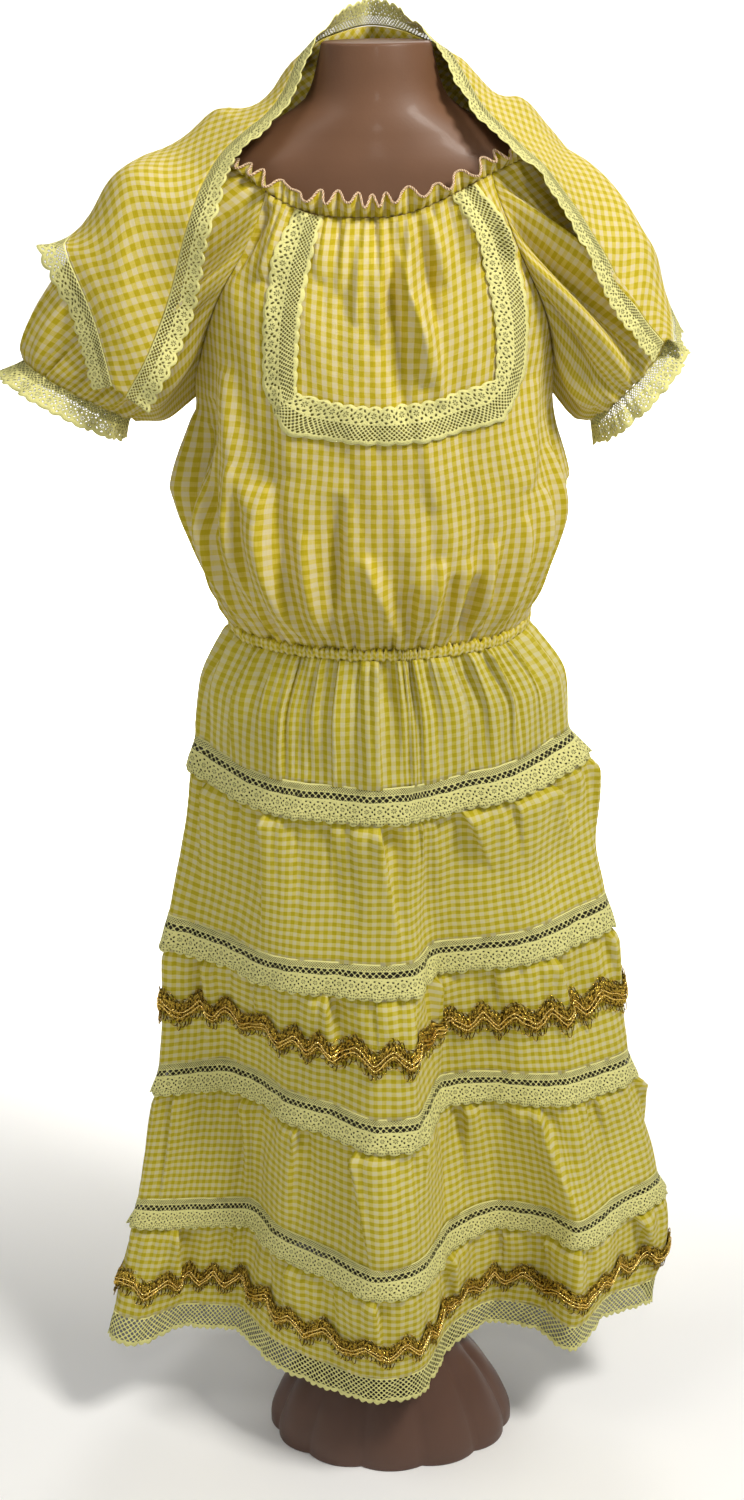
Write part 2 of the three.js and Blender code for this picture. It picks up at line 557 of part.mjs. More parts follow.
function kerchiefPieces() {
  const grid = kerchiefGrid();
  const cloth = makePanel(grid);
  const middle = KERCHIEF_COLUMNS / 2;
  return {
    kerchief: clothWall(cloth),
    kerchief_lace_neck: edgeLace(cloth, grid, true, 0, KERCHIEF_COLUMNS + 1),
    kerchief_lace_right: edgeLace(cloth, grid, false, 0, middle),
    kerchief_lace_left: edgeLace(cloth, grid, false, middle + 1, KERCHIEF_COLUMNS + 1),
  };
}

// ---------------------------------------------------------------- materials and the whole
const finish = (color, roughness, metalness = 0) => new THREE.MeshStandardMaterial({ color, roughness, metalness });
const GINGHAM = finish(0xe9cf62, 0.85);
const LACE_COTTON = finish(0xdfe39a, 0.9);
const GOLD = finish(0xa8791f, 0.35, 0.9);
const PLASTIC = finish(0x7c5c47, 0.35);

const group = new THREE.Group();
function add(name, geometry, material) {
  geometry.computeVertexNormals();
  const mesh = new THREE.Mesh(geometry, material);
  mesh.name = name;
  group.add(mesh);
}

add('form_torso', stack(TORSO.map(torsoRing)), PLASTIC);
add('form_stand', stack(STAND.map(standRing)), PLASTIC);
add('bodice_front', clothWall(frontPanel), GINGHAM);
add('bodice_back', clothWall(backPanel), GINGHAM);
add('chest_lace', chestLaceWall(), LACE_COTTON);
Object.entries(SLEEVES).forEach(([side, sleeve]) => {
  const rows = sleeveRows(sleeve);
  add(`sleeve_${side}`, clothWall(makePanel(rows, { round: true })), GINGHAM);
  add(`cuff_lace_${side}`, clothWall(cuffLace(rows)), LACE_COTTON);
});
add('neck_heading', clothWall(neckHeading()), GINGHAM);
add('waist_casing', clothWall(waistCasing()), GINGHAM);
Object.entries(skirtPieces()).forEach(([name, geometry]) => {
  const material = name.includes('lace') ? LACE_COTTON : GINGHAM;
  add(name, geometry, name.includes('gold') ? GOLD : material);
});
Object.entries(kerchiefPieces()).forEach(([name, geometry]) =>
  add(name, geometry, name.includes('lace') ? LACE_COTTON : GINGHAM));

export default group;
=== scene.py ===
"""Tiered gingham dress with its kerchief, on a limbless dress form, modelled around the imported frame.

Lengths in the tables are in millimetres, +Z up, and the front faces -Y. Left is -X and right is +X, as
seen from the front.
"""

import bpy
import numpy as np
from mathutils import Euler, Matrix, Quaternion


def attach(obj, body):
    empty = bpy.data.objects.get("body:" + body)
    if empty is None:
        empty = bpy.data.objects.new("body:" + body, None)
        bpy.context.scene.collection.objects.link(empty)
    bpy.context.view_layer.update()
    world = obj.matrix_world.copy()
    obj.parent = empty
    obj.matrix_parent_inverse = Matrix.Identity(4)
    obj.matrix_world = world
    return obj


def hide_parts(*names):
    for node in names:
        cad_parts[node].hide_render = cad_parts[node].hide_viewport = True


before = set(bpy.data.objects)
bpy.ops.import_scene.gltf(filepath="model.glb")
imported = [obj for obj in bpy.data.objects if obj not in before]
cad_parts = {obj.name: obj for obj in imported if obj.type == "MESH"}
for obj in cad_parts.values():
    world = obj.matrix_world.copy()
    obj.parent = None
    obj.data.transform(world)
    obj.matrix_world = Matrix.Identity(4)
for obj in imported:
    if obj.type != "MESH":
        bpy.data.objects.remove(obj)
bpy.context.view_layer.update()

bl_info = {
    "name": "Gingham dress and kerchief",
    "version": (1, 0, 0),
    "blender": (4, 5, 0),
    "location": "View3D > Sidebar > Dress",
    "description": "Sews a tiered gingham dress and its kerchief onto a dress form",
    "category": "Add Mesh",
}

MM = 0.001
TURN = 2 * np.pi

# ------------------------------------------------------------------ the dress in numbers
# Heights of the waist casing's edges, of the neck elastic and of the underarms, and the heading's rise.
WAIST_TOP, WAIST_LOW = 1018, 1002
NECK_ELASTIC, UNDERARM, HEADING = 1405, 1215, 15
# The gap at a seam, the raglan seams' angle at the neck from the front in degrees, and the share of the
# way round a sleeve's seam at which its front seam meets the neck elastic.
SEAM, SEAM_ANGLE, SEAM_SHARE = 0.3, 42, 0.36
# How far the bodice's edge tucks in behind the casing, and a tier's top reaches up behind its lace.
TUCK, COVER = 8, 5
# Widths of the laces and pitches of their scallops.
LACE, HEM_LACE, CHEST_WIDE, CUFF_LACE, KERCHIEF_LACE = 35, 33, 34, 28, 26
SCALLOP, HEM_SCALLOP, CHEST_SCALLOP, CUFF_SCALLOP, KERCHIEF_SCALLOP = 13, 9.4, 13.5, 12.9, 12.6
# Cloth round the waist, a sleeve and a cuff's frill, and along a sleeve.
WAIST_GIRTH, SLEEVE_GIRTH, CUFF_GIRTH, SLEEVE_LONG = 830, 560, 440, 250
# Cloth for each degree round the bodice, in its gathers and on its cut, and round the neck heading.
BODICE_GATHERED, BODICE_CUT, HEADING_GATHERED = 2.6, 3.02, 2.15
# The kerchief's depth from its long edge to its point, and half the length of its cloth's long edge.
KERCHIEF_DEEP, KERCHIEF_HALF = 480, 470

# The form's torso, from the neck cut down: height, half width, front, back.
TORSO = [
    (1547, 49, -50, 48), (1530, 53, -53, 50), (1512, 58, -55, 54), (1497, 66, -58, 60),
    (1482, 90, -63, 68), (1466, 114, -66, 72), (1448, 145, -70, 76), (1428, 158, -73, 76),
    (1400, 166, -79, 82), (1350, 166, -92, 92), (1300, 156, -108, 98), (1240, 146, -106, 98),
    (1150, 138, -98, 92), (1010, 131, -94, 86), (930, 148, -94, 100), (860, 154, -84, 108),
    (790, 146, -66, 100), (735, 116, -38, 76), (700, 78, -12, 52),
]

# The form's stand: height, half width, half depth, middle, depth of a flute.
STAND = [
    (699.7, 58, 30, 22, 0), (420, 54, 36, 24, 0), (250, 60, 42, 25, 1), (160, 74, 48, 26, 3),
    (115, 87, 56, 26, 4), (82, 111, 72, 24, 5), (47, 131, 86, 22, 6), (12, 142, 94, 20, 6),
    (0, 142, 94, 20, 6),
]
FLUTES = 12

# The bodice by its height in front: height at each side and behind, reach to each side, front and
# back planes, and how late it climbs to each side.
BODICE = [
    (1405, 1448, 1451.5, 1456, 148, 150, -89, 84, 2.4, 1.05),
    (1350, 1396, 1400, 1402, 166, 166, -112, 106, 1.8, 1),
    (1290, 1330, 1330, 1336, 174, 172, -133, 120, 1, 1),
    (1215, 1232, 1232, 1250, 172, 162, -144, 128, 1, 1),
    (1130, 1140, 1140, 1150, 190, 180, -142, 134, 1, 1),
    (1055, 1058, 1058, 1062, 172, 160, -128, 122, 1, 1),
    (1018, 1018, 1018, 1018, 151, 144, -113, 107, 1, 1),
    (1006, 1006, 1006, 1006, 147, 140, -110, 104, 1, 1),
]
ARMHOLE_HIGHS = (1215, 1250, 1290, 1330, 1370, 1405)

# The chest lace's edges as shares of the half width: height, outer and inner left, inner and outer right.
CHEST_LACE = [
    (1405, -0.49, -0.32, 0.42, 0.56), (1330, -0.57, -0.38, 0.54, 0.71),
    (1250, -0.60, -0.42, 0.60, 0.79), (1215, -0.60, -0.43, 0.61, 0.80),
    (1018, -0.60, -0.43, 0.58, 0.76),
]

# Each sleeve: side, centre of the cuff, the ways to its inner and front points, its half widths, and
# how far the puff stands out below, in front, on top and behind.
SLEEVES = {
    "left": (-1, (-286, 2, 1240), (0.875, -0.07, -0.48), (0, -1, 0.1), 55, 48, (14, 4, 34, 24)),
    "right": (1, (236, 12, 1243), (-0.65, -0.38, -0.66), (0.28, -0.92, 0.27), 50, 46, (12, 20, 22, 20)),
}

# The skirt's width by its height in front: reach to each side, and how much higher each side hangs.
WIDTHS = [
    (1002, 151, 144, 0, 0), (935, 184, 183, 4, 4), (868, 192, 190, 14, 14), (810, 202, 218, 14, 14),
    (735, 214, 222, 14, 14), (667, 229, 236, 14, 14), (495, 252, 268, -16, -12),
    (316, 285, 310, -11, -4), (250, 300, 322, -6, 6), (129, 327, 306, 2, 16),
]

# Ridges and hollows of the hanging skirt, from the left side by the front: where each lies across the
# half width, and its y at the levels below.
LEVELS = (868, 667, 495, 316, 129)
FRONT_CREASES = 14
CREASES = [
    (-1.00, 8, 0, 32, 30, 12), (-0.90, -20, -12, 30, 24, -8), (-0.74, -62, -34, 30, 21, 26),
    (-0.56, -90, -70, -2, 18, 20), (-0.42, -99, -84, -48, -40, -38), (-0.24, -104, -88, -76, -80, -80),
    (-0.03, -112, -95, -112, -125, -108), (0.10, -108, -92, -108, -108, -97),
    (0.22, -100, -46, -24, -34, -20), (0.40, -82, -41, -14, 2, 26), (0.56, -72, -36, -18, -10, 6),
    (0.67, -60, -26, -16, -38, -34), (0.82, -30, 2, 4, 8, 22), (1.00, 22, 41, 50, 66, 44),
    (0.90, 76, 90, 105, 118, 98), (0.72, 104, 118, 120, 112, 92), (0.50, 120, 126, 146, 168, 178),
    (0.30, 128, 122, 118, 108, 100), (0.08, 132, 136, 156, 176, 190), (-0.12, 132, 130, 132, 128, 120),
    (-0.34, 128, 132, 148, 172, 186), (-0.55, 116, 116, 112, 104, 96), (-0.76, 98, 106, 122, 140, 150),
    (-0.92, 62, 72, 84, 88, 80),
]
WAIST_FRONT, WAIST_BACK = -113, 107

# The kerchief's sections by the distance along its long edge: points on the edge round the neck, the
# ridge over the shoulder, the blade behind and the short edge below.
KERCHIEF = [
    (-470, (-232, -86, 1249), (-236, -85, 1252), (-240, -84, 1255), (-243, -82, 1258)),
    (-430, (-212, -92, 1282), (-228, -88, 1291), (-242, -82, 1300), (-254, -74, 1306)),
    (-379, (-191, -82, 1329), (-226, -80, 1352), (-258, -60, 1370), (-284, -34, 1378)),
    (-311, (-170, -84, 1396), (-226, -36, 1438), (-254, 10, 1416), (-264, 56, 1388)),
    (-251, (-147, -53, 1447), (-192, 14, 1456), (-226, 78, 1430), (-212, 118, 1378)),
    (-175, (-100, -28, 1492), (-130, 30, 1494), (-160, 108, 1430), (-144, 138, 1298)),
    (-95, (-65, 12, 1540), (-82, 52, 1517), (-92, 130, 1386), (-66, 152, 1210)),
    (0, (-3, 90, 1556), (-3, 104, 1508), (0, 134, 1330), (4, 158, 1092)),
    (95, (63, 14, 1538), (80, 52, 1521), (92, 130, 1388), (72, 152, 1210)),
    (175, (97, -37, 1490), (124, 27, 1495), (158, 108, 1430), (146, 138, 1298)),
    (251, (147, -63, 1444), (172, 20, 1453), (204, 84, 1404), (200, 122, 1358)),
    (311, (181, -66, 1401), (211, 4, 1420), (232, 50, 1388), (243, 90, 1357)),
    (379, (217, -62, 1343), (246, -20, 1368), (259, 6, 1355), (270, 37, 1324)),
    (430, (243, -52, 1306), (256, -34, 1314), (264, -22, 1312), (272, -9, 1305)),
    (470, (262, -42, 1284), (266, -38, 1285), (269, -34, 1284), (272, -30, 1282)),
]

# Knife pleats under each lace: place across the front or the back, lean in mm over 100 mm, width,
# depth, and how far down it holds. One of negative width faces the other way.
PLEATS = {
    "skirt_yoke": {
        "front": [
            (-0.93, 0, 16, 1.8, 150), (-0.80, 2, 18, 2.4, 190), (-0.66, 3, 17, 1.6, 120),
            (-0.53, 1, -20, 3.0, 220), (-0.38, 0, 18, 1.8, 130), (-0.27, 1, 20, 3.0, 230),
            (-0.14, 0, 15, 1.4, 110), (-0.03, 2, -20, 3.2, 240), (0.08, 0, 16, 1.6, 120),
            (0.19, 4, 18, 2.4, 170), (0.31, -1, 17, 1.6, 120), (0.43, 3, -18, 2.6, 190),
            (0.55, 0, 18, 2.0, 140), (0.67, 2, 18, 2.6, 200), (0.82, 1, 16, 2.0, 150),
        ],
        "back": [
            (0.90, 1, -16, 2.0, 150), (0.76, 0, 18, 2.6, 210), (0.62, 2, 17, 1.6, 120),
            (0.49, 1, 20, 3.0, 230), (0.35, 0, -18, 1.8, 130), (0.20, -1, 20, 2.8, 200),
            (0.06, 0, 15, 1.6, 120), (-0.08, 2, 20, 3.0, 240), (-0.22, 0, -16, 1.6, 120),
            (-0.37, 2, 18, 2.4, 180), (-0.52, -1, 17, 1.8, 120), (-0.68, 1, 18, 2.6, 200),
            (-0.84, 0, -16, 2.0, 150),
        ],
    },
    "tier_2": {
        "front": [
            (-0.90, 2, 34, 4.0, 120), (-0.60, 5, 40, 6.0, 170), (-0.27, 3, 30, 2.6, 90),
            (-0.03, 14, -40, 6.5, 180), (0.15, 6, 26, 2.2, 80), (0.34, 40, 36, 6.0, 95),
            (0.60, 10, 30, 2.6, 90), (0.78, 34, -38, 6.5, 100), (0.97, 10, 30, 4.0, 120),
        ],
        "back": [
            (0.80, 6, 38, 5.0, 140), (0.56, 10, 34, 3.2, 100), (0.34, -4, -40, 6.0, 170),
            (0.10, 8, 36, 3.4, 110), (-0.12, 12, 40, 6.2, 180), (-0.36, 4, 34, 3.0, 100),
            (-0.58, -6, -40, 5.6, 160), (-0.80, 8, 34, 4.0, 120),
        ],
    },
    "tier_3": {
        "front": [
            (-0.83, 10, 38, 5.0, 120), (-0.58, 3, 32, 2.6, 80), (-0.26, 20, -42, 6.0, 130),
            (-0.05, 6, 30, 2.4, 80), (0.19, 2, 40, 6.5, 150), (0.46, 4, 34, 2.4, 70),
            (0.72, 26, -40, 5.6, 110), (0.94, 20, 34, 4.5, 110),
        ],
        "back": [
            (0.84, 6, 38, 4.6, 120), (0.60, 8, 36, 3.0, 90), (0.38, 12, -42, 6.0, 140),
            (0.14, -6, 36, 3.2, 90), (-0.08, 8, 40, 5.8, 140), (-0.32, 6, 34, 3.0, 90),
            (-0.56, 10, -42, 5.6, 130), (-0.78, -4, 36, 3.6, 110),
        ],
    },
    "tier_4": {
        "front": [
            (-0.92, 3, 34, 3.4, 110), (-0.62, 12, 44, 6.0, 160), (-0.36, -6, -38, 5.0, 150),
            (-0.13, 12, 46, 7.0, 180), (0.12, 4, 32, 2.6, 90), (0.30, -2, 40, 4.6, 140),
            (0.59, 26, -46, 7.0, 170), (0.82, 8, 34, 3.0, 90), (0.97, 34, 36, 5.4, 110),
        ],
        "back": [
            (0.86, 6, 38, 4.6, 130), (0.62, 10, -44, 6.0, 160), (0.40, -6, 36, 3.0, 100),
            (0.18, 8, 44, 6.2, 160), (-0.06, 4, 36, 3.4, 100), (-0.28, 12, -44, 6.2, 170),
            (-0.52, -4, 36, 3.4, 100), (-0.74, 8, 42, 5.4, 150), (-0.93, 4, 34, 3.6, 120),
        ],
    },
    "tier_5": {
        "front": [
            (-0.82, 24, -44, 6.0, 130), (-0.60, 3, 34, 3.0, 90), (-0.37, -4, 40, 4.6, 120),
            (-0.20, 6, 34, 2.6, 80), (-0.05, 8, -42, 5.0, 120), (0.19, 30, 38, 6.4, 120),
            (0.40, 4, 34, 2.6, 80), (0.55, 10, 42, 6.4, 160), (0.67, 2, -34, 4.2, 110),
            (0.86, 36, 44, 6.6, 130),
        ],
        "back": [
            (0.88, 8, 40, 5.0, 130), (0.66, 4, 36, 3.4, 100), (0.44, 14, -44, 6.0, 150),
            (0.22, -6, 36, 3.2, 90), (0.02, 8, 44, 6.2, 150), (-0.20, 6, 36, 3.4, 90),
            (-0.42, 12, -44, 6.0, 150), (-0.64, -6, 38, 3.8, 110), (-0.86, 8, 42, 5.4, 140),
        ],
    },
}

# How much longer the yoke's cloth is than its girth at the low edge.
YOKE_FULL = 1.13
# Each tier of the skirt: name, top and low.
TIERS = {"skirt_yoke": (1002, 868), "tier_2": (833, 667), "tier_3": (632, 495), "tier_4": (460, 316),
         "tier_5": (281, 162)}
# Each band of beading lace: name and top.
LACES = [("lace_band_1", 868), ("lace_band_2", 667), ("lace_band_3", 495), ("lace_band_4", 316)]
# Each braid: name, its tier, height of its middle, pitch and height of its wave, half width.
BRAIDS = [
    ("gold_braid_upper", "tier_3", 566, 40, 7.5, 13.0), ("gold_braid_lower", "tier_5", 205, 44, 8.0, 11.5),
]


# ------------------------------------------------------------------ curves
def smooth(at, values, where, period=0.0):
    """Value at where of the smooth curve through the rows (at, values), which never overshoots them.

    A row's slope is the harmonic mean of the rises beside it, or 0 where the curve turns, and a cubic
    joins the rows. A period closes the curve. With several columns of values, where has as many.
    """
    at, values, where = (np.asarray(x, float) for x in (at, values, where))
    if period:
        at = np.concatenate([at[-2:] - period, at, at[:2] + period])
        values = np.concatenate([values[-2:], values, values[:2]])
        where = at[2] + (where - at[2]) % period
    single = values.ndim == 1
    values = values[:, None] if single else values
    rise = np.diff(values, axis=0) / np.diff(at)[:, None]
    same_way = rise[:-1] * rise[1:] > 0
    total = np.where(same_way, rise[:-1] + rise[1:], 1)
    slope = np.vstack([rise[:1], np.where(same_way, 2 * rise[:-1] * rise[1:] / total, 0), rise[-1:]])
    i = np.clip(np.searchsorted(at, where, "right") - 1, 0, len(at) - 2)
    column = 0 if single else np.broadcast_to(np.arange(values.shape[1]), where.shape)
    width = at[i + 1] - at[i]
    t = np.clip((where - at[i]) / width, 0, 1)
    keep = (1 + 2 * t) * (1 - t) ** 2
    lean = t * (1 - t) ** 2 * width * slope[i, column] - t * t * (1 - t) * width * slope[i + 1, column]
    return keep * values[i, column] + (1 - keep) * values[i + 1, column] + lean


def table_curves(rows):
    """A function from the table's first column to all its other columns."""
    table = np.array(sorted(rows), float)
    return lambda where: [smooth(table[:, 0], table[:, k], where) for k in range(1, table.shape[1])]


def lerp(a, b, t):
    """The share t of the way from a to b."""
    return a + (b - a) * t


def step(low, high, x):
    """0 below low and 1 above high, with a smooth rise between them."""
    t = np.clip((x - low) / (high - low), 0, 1)
    return t * t * (3 - 2 * t)


def length(way):
    """Length of each vector."""
    return np.sqrt((way * way).sum(-1, keepdims=True))


def unit(way):
    """Each vector over its length."""
    return way / np.maximum(length(way), 1e-9)


def down_shares(rows):
    """A column of shares of the way down a piece, evenly from 0 to 1."""
    return np.linspace(0, 1, rows)[:, None]


def round_shares(columns):
    """A row of shares of the way round a piece, evenly from 0 to just under 1."""
    return np.arange(columns)[None] / columns


def scallops(run, pitch):
    """Scalloped edge by the distance run along it: 1 at the tip of each scallop and 0 between them."""
    return np.abs(np.sin(np.pi * run / pitch)) ** 0.7


def ways_out(points, closed):
    """Unit vectors out of a grid of points, whose rows run down and columns round to +X."""
    if closed:
        along = np.roll(points, -1, 1) - np.roll(points, 1, 1)
    else:
        along = np.gradient(points, axis=1)
    return unit(np.cross(np.gradient(points, axis=0), along))


def waves(place, seed, pitches, drift=None):
    """Sum of cosines over a place in mm, one for each pitch, each with a seeded phase and strength.

    drift bends the waves by the same amount in mm, so that they don't run straight.
    """
    random = np.random.default_rng(seed)
    total = np.zeros(np.shape(place) if drift is None else np.broadcast(place, drift).shape)
    for pitch in pitches:
        phase, strength = random.uniform(0, TURN), random.uniform(0.6, 1.0)
        total += strength * np.cos(TURN * (place if drift is None else place + drift) / pitch + phase)
    return total / np.sqrt(len(pitches))


def puckers(place, seed, pitch, uneven=0.35):
    """Gathers over a place in mm: rounded ridges with narrow hollows, of uneven pitch. From 0 to 1."""
    slip = uneven * pitch * waves(place, seed, (pitch * 5.3, pitch * 8.9, pitch * 2.7))
    return np.abs(np.sin(np.pi * (place + slip) / pitch)) ** 0.8


def gathers(place, away, seed, rows):
    """Gathers that spread from an elastic, by the place along it and the distance away, in mm.

    Each row's ridges, of a pitch, are as tall as it says near the elastic and fade over a distance, so
    that the close ones die first and the wide ones run on. All are uneven and wander a little.
    """
    away = np.maximum(away, 0)
    total = np.zeros(np.broadcast(place, away).shape)
    for k, (pitch, fade, tall) in enumerate(rows):
        bent = place + 0.22 * pitch * np.sin(away / (0.5 * fade + 9) + 1.7 * k)
        uneven = 1 + 0.45 * waves(place, seed + 20 * k + 1, (pitch * 3.1, pitch * 5.7))
        ridges = puckers(bent, seed + 20 * k, pitch, 0.42) - 0.5
        begin = step(-0.3 * pitch * k - 1, 0.3 * pitch * k + 2, away)
        total += tall * uneven * ridges * np.exp(-away / fade) * begin
    return total


def creases(place, high, rows):
    """Height of folds laid over a surface in mm.

    Each row is the place and height of one end, of the other end, half width, height of the ridge or
    depth of the hollow, and how far it bends sideways. A fold is a ridge across its line, widest in its
    middle and steeper on one side, and dies away at both ends.
    """
    total = np.zeros(np.broadcast(place, high).shape)
    for place_a, high_a, place_b, high_b, wide, tall, bend in rows:
        along = np.array([place_b - place_a, high_b - high_a], float)
        run = np.hypot(*along)
        along /= run
        t = ((place - place_a) * along[0] + (high - high_a) * along[1]) / run
        inside = np.clip(t, 0, 1)
        side = (place - place_a) * along[1] - (high - high_a) * along[0] - bend * 4 * inside * (1 - inside)
        ends = np.sin(np.pi * inside) ** 0.6
        steep = 0.5 * np.sin(2.4 * place_a + high_a)
        spread = wide * (0.5 + 0.5 * ends) * (1 + steep * np.tanh(side / wide))
        total += tall * ends * np.exp(-(np.abs(side) / spread) ** 1.6)
    return total


# ------------------------------------------------------------------ the surfaces of the dress
bodice_curves = table_curves(BODICE)
width_curves = table_curves(WIDTHS)
lace_edges = table_curves(CHEST_LACE)
CREASE_ROWS = np.array(CREASES, float)


def side_width(across, high):
    """Reach of the skirt at a share of its half width."""
    left, right, _, _ = width_curves(high)
    return across * np.where(across < 0, left, right)


def crease_levels():
    """Height and y of every crease at the waist, on its oval, halfway down the yoke, where the skirt
    bulges a little, and at the five levels. From the lowest up."""
    plane = np.where(np.arange(len(CREASES)) < FRONT_CREASES, WAIST_FRONT, WAIST_BACK)
    waist = np.sqrt(np.maximum(1 - CREASE_ROWS[:, 0] ** 2, 0)) * plane
    halfway = 1.05 * lerp(waist, CREASE_ROWS[:, 1], 0.6)
    highs = np.array([WAIST_LOW, (WAIST_LOW + LEVELS[0]) / 2, *LEVELS], float)
    return highs[::-1], np.vstack([waist, halfway, CREASE_ROWS[:, 1:].T])[::-1]


def crease_shares():
    """Each crease's share of the way round the cloth, the mean over the five levels."""
    total = np.zeros(len(CREASES))
    for k, high in enumerate(LEVELS):
        plan = np.stack([side_width(CREASE_ROWS[:, 0], high), CREASE_ROWS[:, k + 1]], 1)
        steps = np.hypot(*(np.roll(plan, -1, 0) - plan).T)
        total += np.concatenate([[0], np.cumsum(steps)[:-1]]) / steps.sum() / len(LEVELS)
    return total


LEVEL_HIGHS, LEVEL_REACHES = crease_levels()
CREASE_SHARES = crease_shares()


def skirt_surface(share, high):
    """Point of the hanging skirt at a share of the way round and a height in front.

    The creases give how far across the share lies and its y at seven levels; x is that times the reach
    to its side, y is read between the levels, and the sides hang higher by the square of across.
    """
    share, high = np.broadcast_arrays(share, high)
    across = smooth(CREASE_SHARES, CREASE_ROWS[:, 0], share, 1)
    reaches = np.stack([smooth(CREASE_SHARES, level, share, 1).ravel() for level in LEVEL_REACHES])
    y = smooth(LEVEL_HIGHS, reaches, high.reshape(1, -1)).reshape(high.shape)
    _, _, rise_left, rise_right = width_curves(high)
    z = high + across**2 * np.where(across < 0, rise_left, rise_right)
    return np.stack([side_width(across, high), y, z], -1)


def skirt_way(share, high):
    """Unit way out of the hanging skirt at a share and a height, nearly level."""
    along = skirt_surface(share + 0.001, high) - skirt_surface(share - 0.001, high)
    out = np.cross(skirt_surface(share, high - 2) - skirt_surface(share, high + 2), along)
    out[..., 2] *= 0.4
    return unit(out)


def girth_at(high):
    """Length of the skirt's section at a height in front."""
    ring = skirt_surface(round_shares(1440), float(high))[0]
    return float(length(np.roll(ring, -1, 0) - ring).sum())


def share_of(across, back):
    """Share of the way round at a place across the front or the back."""
    rows = slice(FRONT_CREASES - 1, None) if back else slice(0, FRONT_CREASES)
    at, shares = CREASE_ROWS[rows, 0], CREASE_SHARES[rows]
    return np.interp(-across if back else across, -at if back else at, shares)


def bodice_surface(high, angle):
    """Point of the bodice at a height in front and an angle from the front towards +X.

    Its sections are ovals with their own reach to each side and to the front and back, and each climbs
    to the height of its side by a power of a smooth step of the sine.
    """
    high, angle = np.broadcast_arrays(high, angle)
    left_side, right_side, back_high, left, right, front, back, left_climb, right_climb = bodice_curves(high)
    s, c = np.sin(angle), np.cos(angle)
    to_left = s < 0
    middle = np.where(c > 0, high, back_high)
    climb = (s * s * (3 - 2 * np.abs(s))) ** np.where(to_left, left_climb, right_climb)
    x = s * np.where(to_left, left, right)
    y = np.abs(c) * np.where(c > 0, front, back)
    return np.stack([x, y, lerp(middle, np.where(to_left, left_side, right_side), climb)], -1)


def bodice_way(high, angle):
    """Level way out of the bodice's oval section."""
    high, angle = np.broadcast_arrays(high, angle)
    _, _, _, left, right, front, back, _, _ = bodice_curves(high)
    reach = np.where(np.sin(angle) < 0, left, right)
    deep = np.abs(np.where(np.cos(angle) > 0, front, back))
    return unit(np.stack([np.sin(angle) / reach, -np.cos(angle) / deep, 0 * reach], -1))


def seam_angle(high):
    """Angle of the raglan seam: it leaves the neck and curves out to the side at the underarm."""
    fall = np.clip((NECK_ELASTIC - high) / (NECK_ELASTIC - UNDERARM), 0, 1)
    return np.radians(lerp(SEAM_ANGLE, 90, fall**2.2))


# ------------------------------------------------------------------ meshes
def settings(kind):
    """The user's sizes or colours."""
    return getattr(bpy.context.scene, "dress_" + kind)


def link_mesh(name, points, faces, uv=None, ends=()):
    """An object of the points in mm, with faces of four corners and a UV map in metres, smooth all over.

    ends are single faces of many corners that close it.
    """
    mesh = bpy.data.meshes.new(name)
    mesh.vertices.add(len(points))
    mesh.vertices.foreach_set("co", (np.asarray(points) * MM).astype(np.float32).ravel())
    sizes = np.array([4] * len(faces) + [len(end) for end in ends])
    mesh.loops.add(int(sizes.sum()))
    mesh.loops.foreach_set("vertex_index", np.concatenate([faces.ravel(), *ends]).astype(np.int32))
    mesh.polygons.add(len(sizes))
    mesh.polygons.foreach_set("loop_start", (np.cumsum(sizes) - sizes).astype(np.int32))
    mesh.polygons.foreach_set("use_smooth", np.ones(len(sizes), bool))
    if uv is not None:
        layer = mesh.uv_layers.new(name="cut")
        layer.data.foreach_set("uv", (np.asarray(uv) * MM).astype(np.float32).ravel())
    mesh.update(calc_edges=True)
    mesh.validate()
    piece = bpy.data.objects.new(name, mesh)
    bpy.context.scene.collection.objects.link(piece)
    return piece


def grid_faces(rows, columns, closed, looped=False):
    """Corners of the cells of a grid, looking out of it.

    A closed grid's last column meets its first, and a looped one's last row its first.
    """
    down, around = np.arange(rows if looped else rows - 1), np.arange(columns if closed else columns - 1)
    r, c = np.meshgrid(down, around, indexing="ij")
    corners = (r, c), (r + 1, c), (r + 1, c + 1), (r, c + 1)
    return np.stack([row % rows * columns + column % columns for row, column in corners], -1).reshape(-1, 4)


def with_closing(values, more=0):
    """A closed grid's values with its first column again at the end, more further on."""
    return np.concatenate([values, values[:, :1] + more], 1)


def grid_uv(u, v):
    """UV of the corners of a grid's cells, from u and v at the points, with the closing column if any."""
    at = np.stack(np.broadcast_arrays(u, v), -1)
    return np.stack([at[:-1, :-1], at[1:, :-1], at[1:, 1:], at[:-1, 1:]], 2).reshape(-1, 2)


def cloth(name, points, u, v, closed=False, thick=None):
    """A thin shell of cloth whose outer side is the grid of points, its wall laid inwards."""
    rows, columns = points.shape[:2]
    piece = link_mesh(name, points.reshape(-1, 3), grid_faces(rows, columns, closed), grid_uv(u, v))
    wall = piece.modifiers.new("wall", "SOLIDIFY")
    wall.thickness = settings("sizes").cloth if thick is None else thick * MM
    wall.offset = -1
    return piece


def finish_piece(piece, material, slot, *nodes):
    """Gives a piece its material and its body, and hides the nodes that it stands for. Its slot is not used.
    """
    piece.data.materials.append(material)
    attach(piece, "root")
    if nodes:
        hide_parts(*nodes)
    return piece


def tube(path, radius, sides):
    """Rings of a tube round a closed path: a ring of sides at each point, across the way it runs."""
    way = unit(np.roll(path, -1, 0) - np.roll(path, 1, 0))
    side = unit(np.cross(way, [0, 0, 1.0]))
    up = np.cross(side, way)
    turn = np.arange(sides) / sides * TURN
    ring = np.cos(turn)[None, :, None] * side[:, None] + np.sin(turn)[None, :, None] * up[:, None]
    return path[:, None] + radius * ring


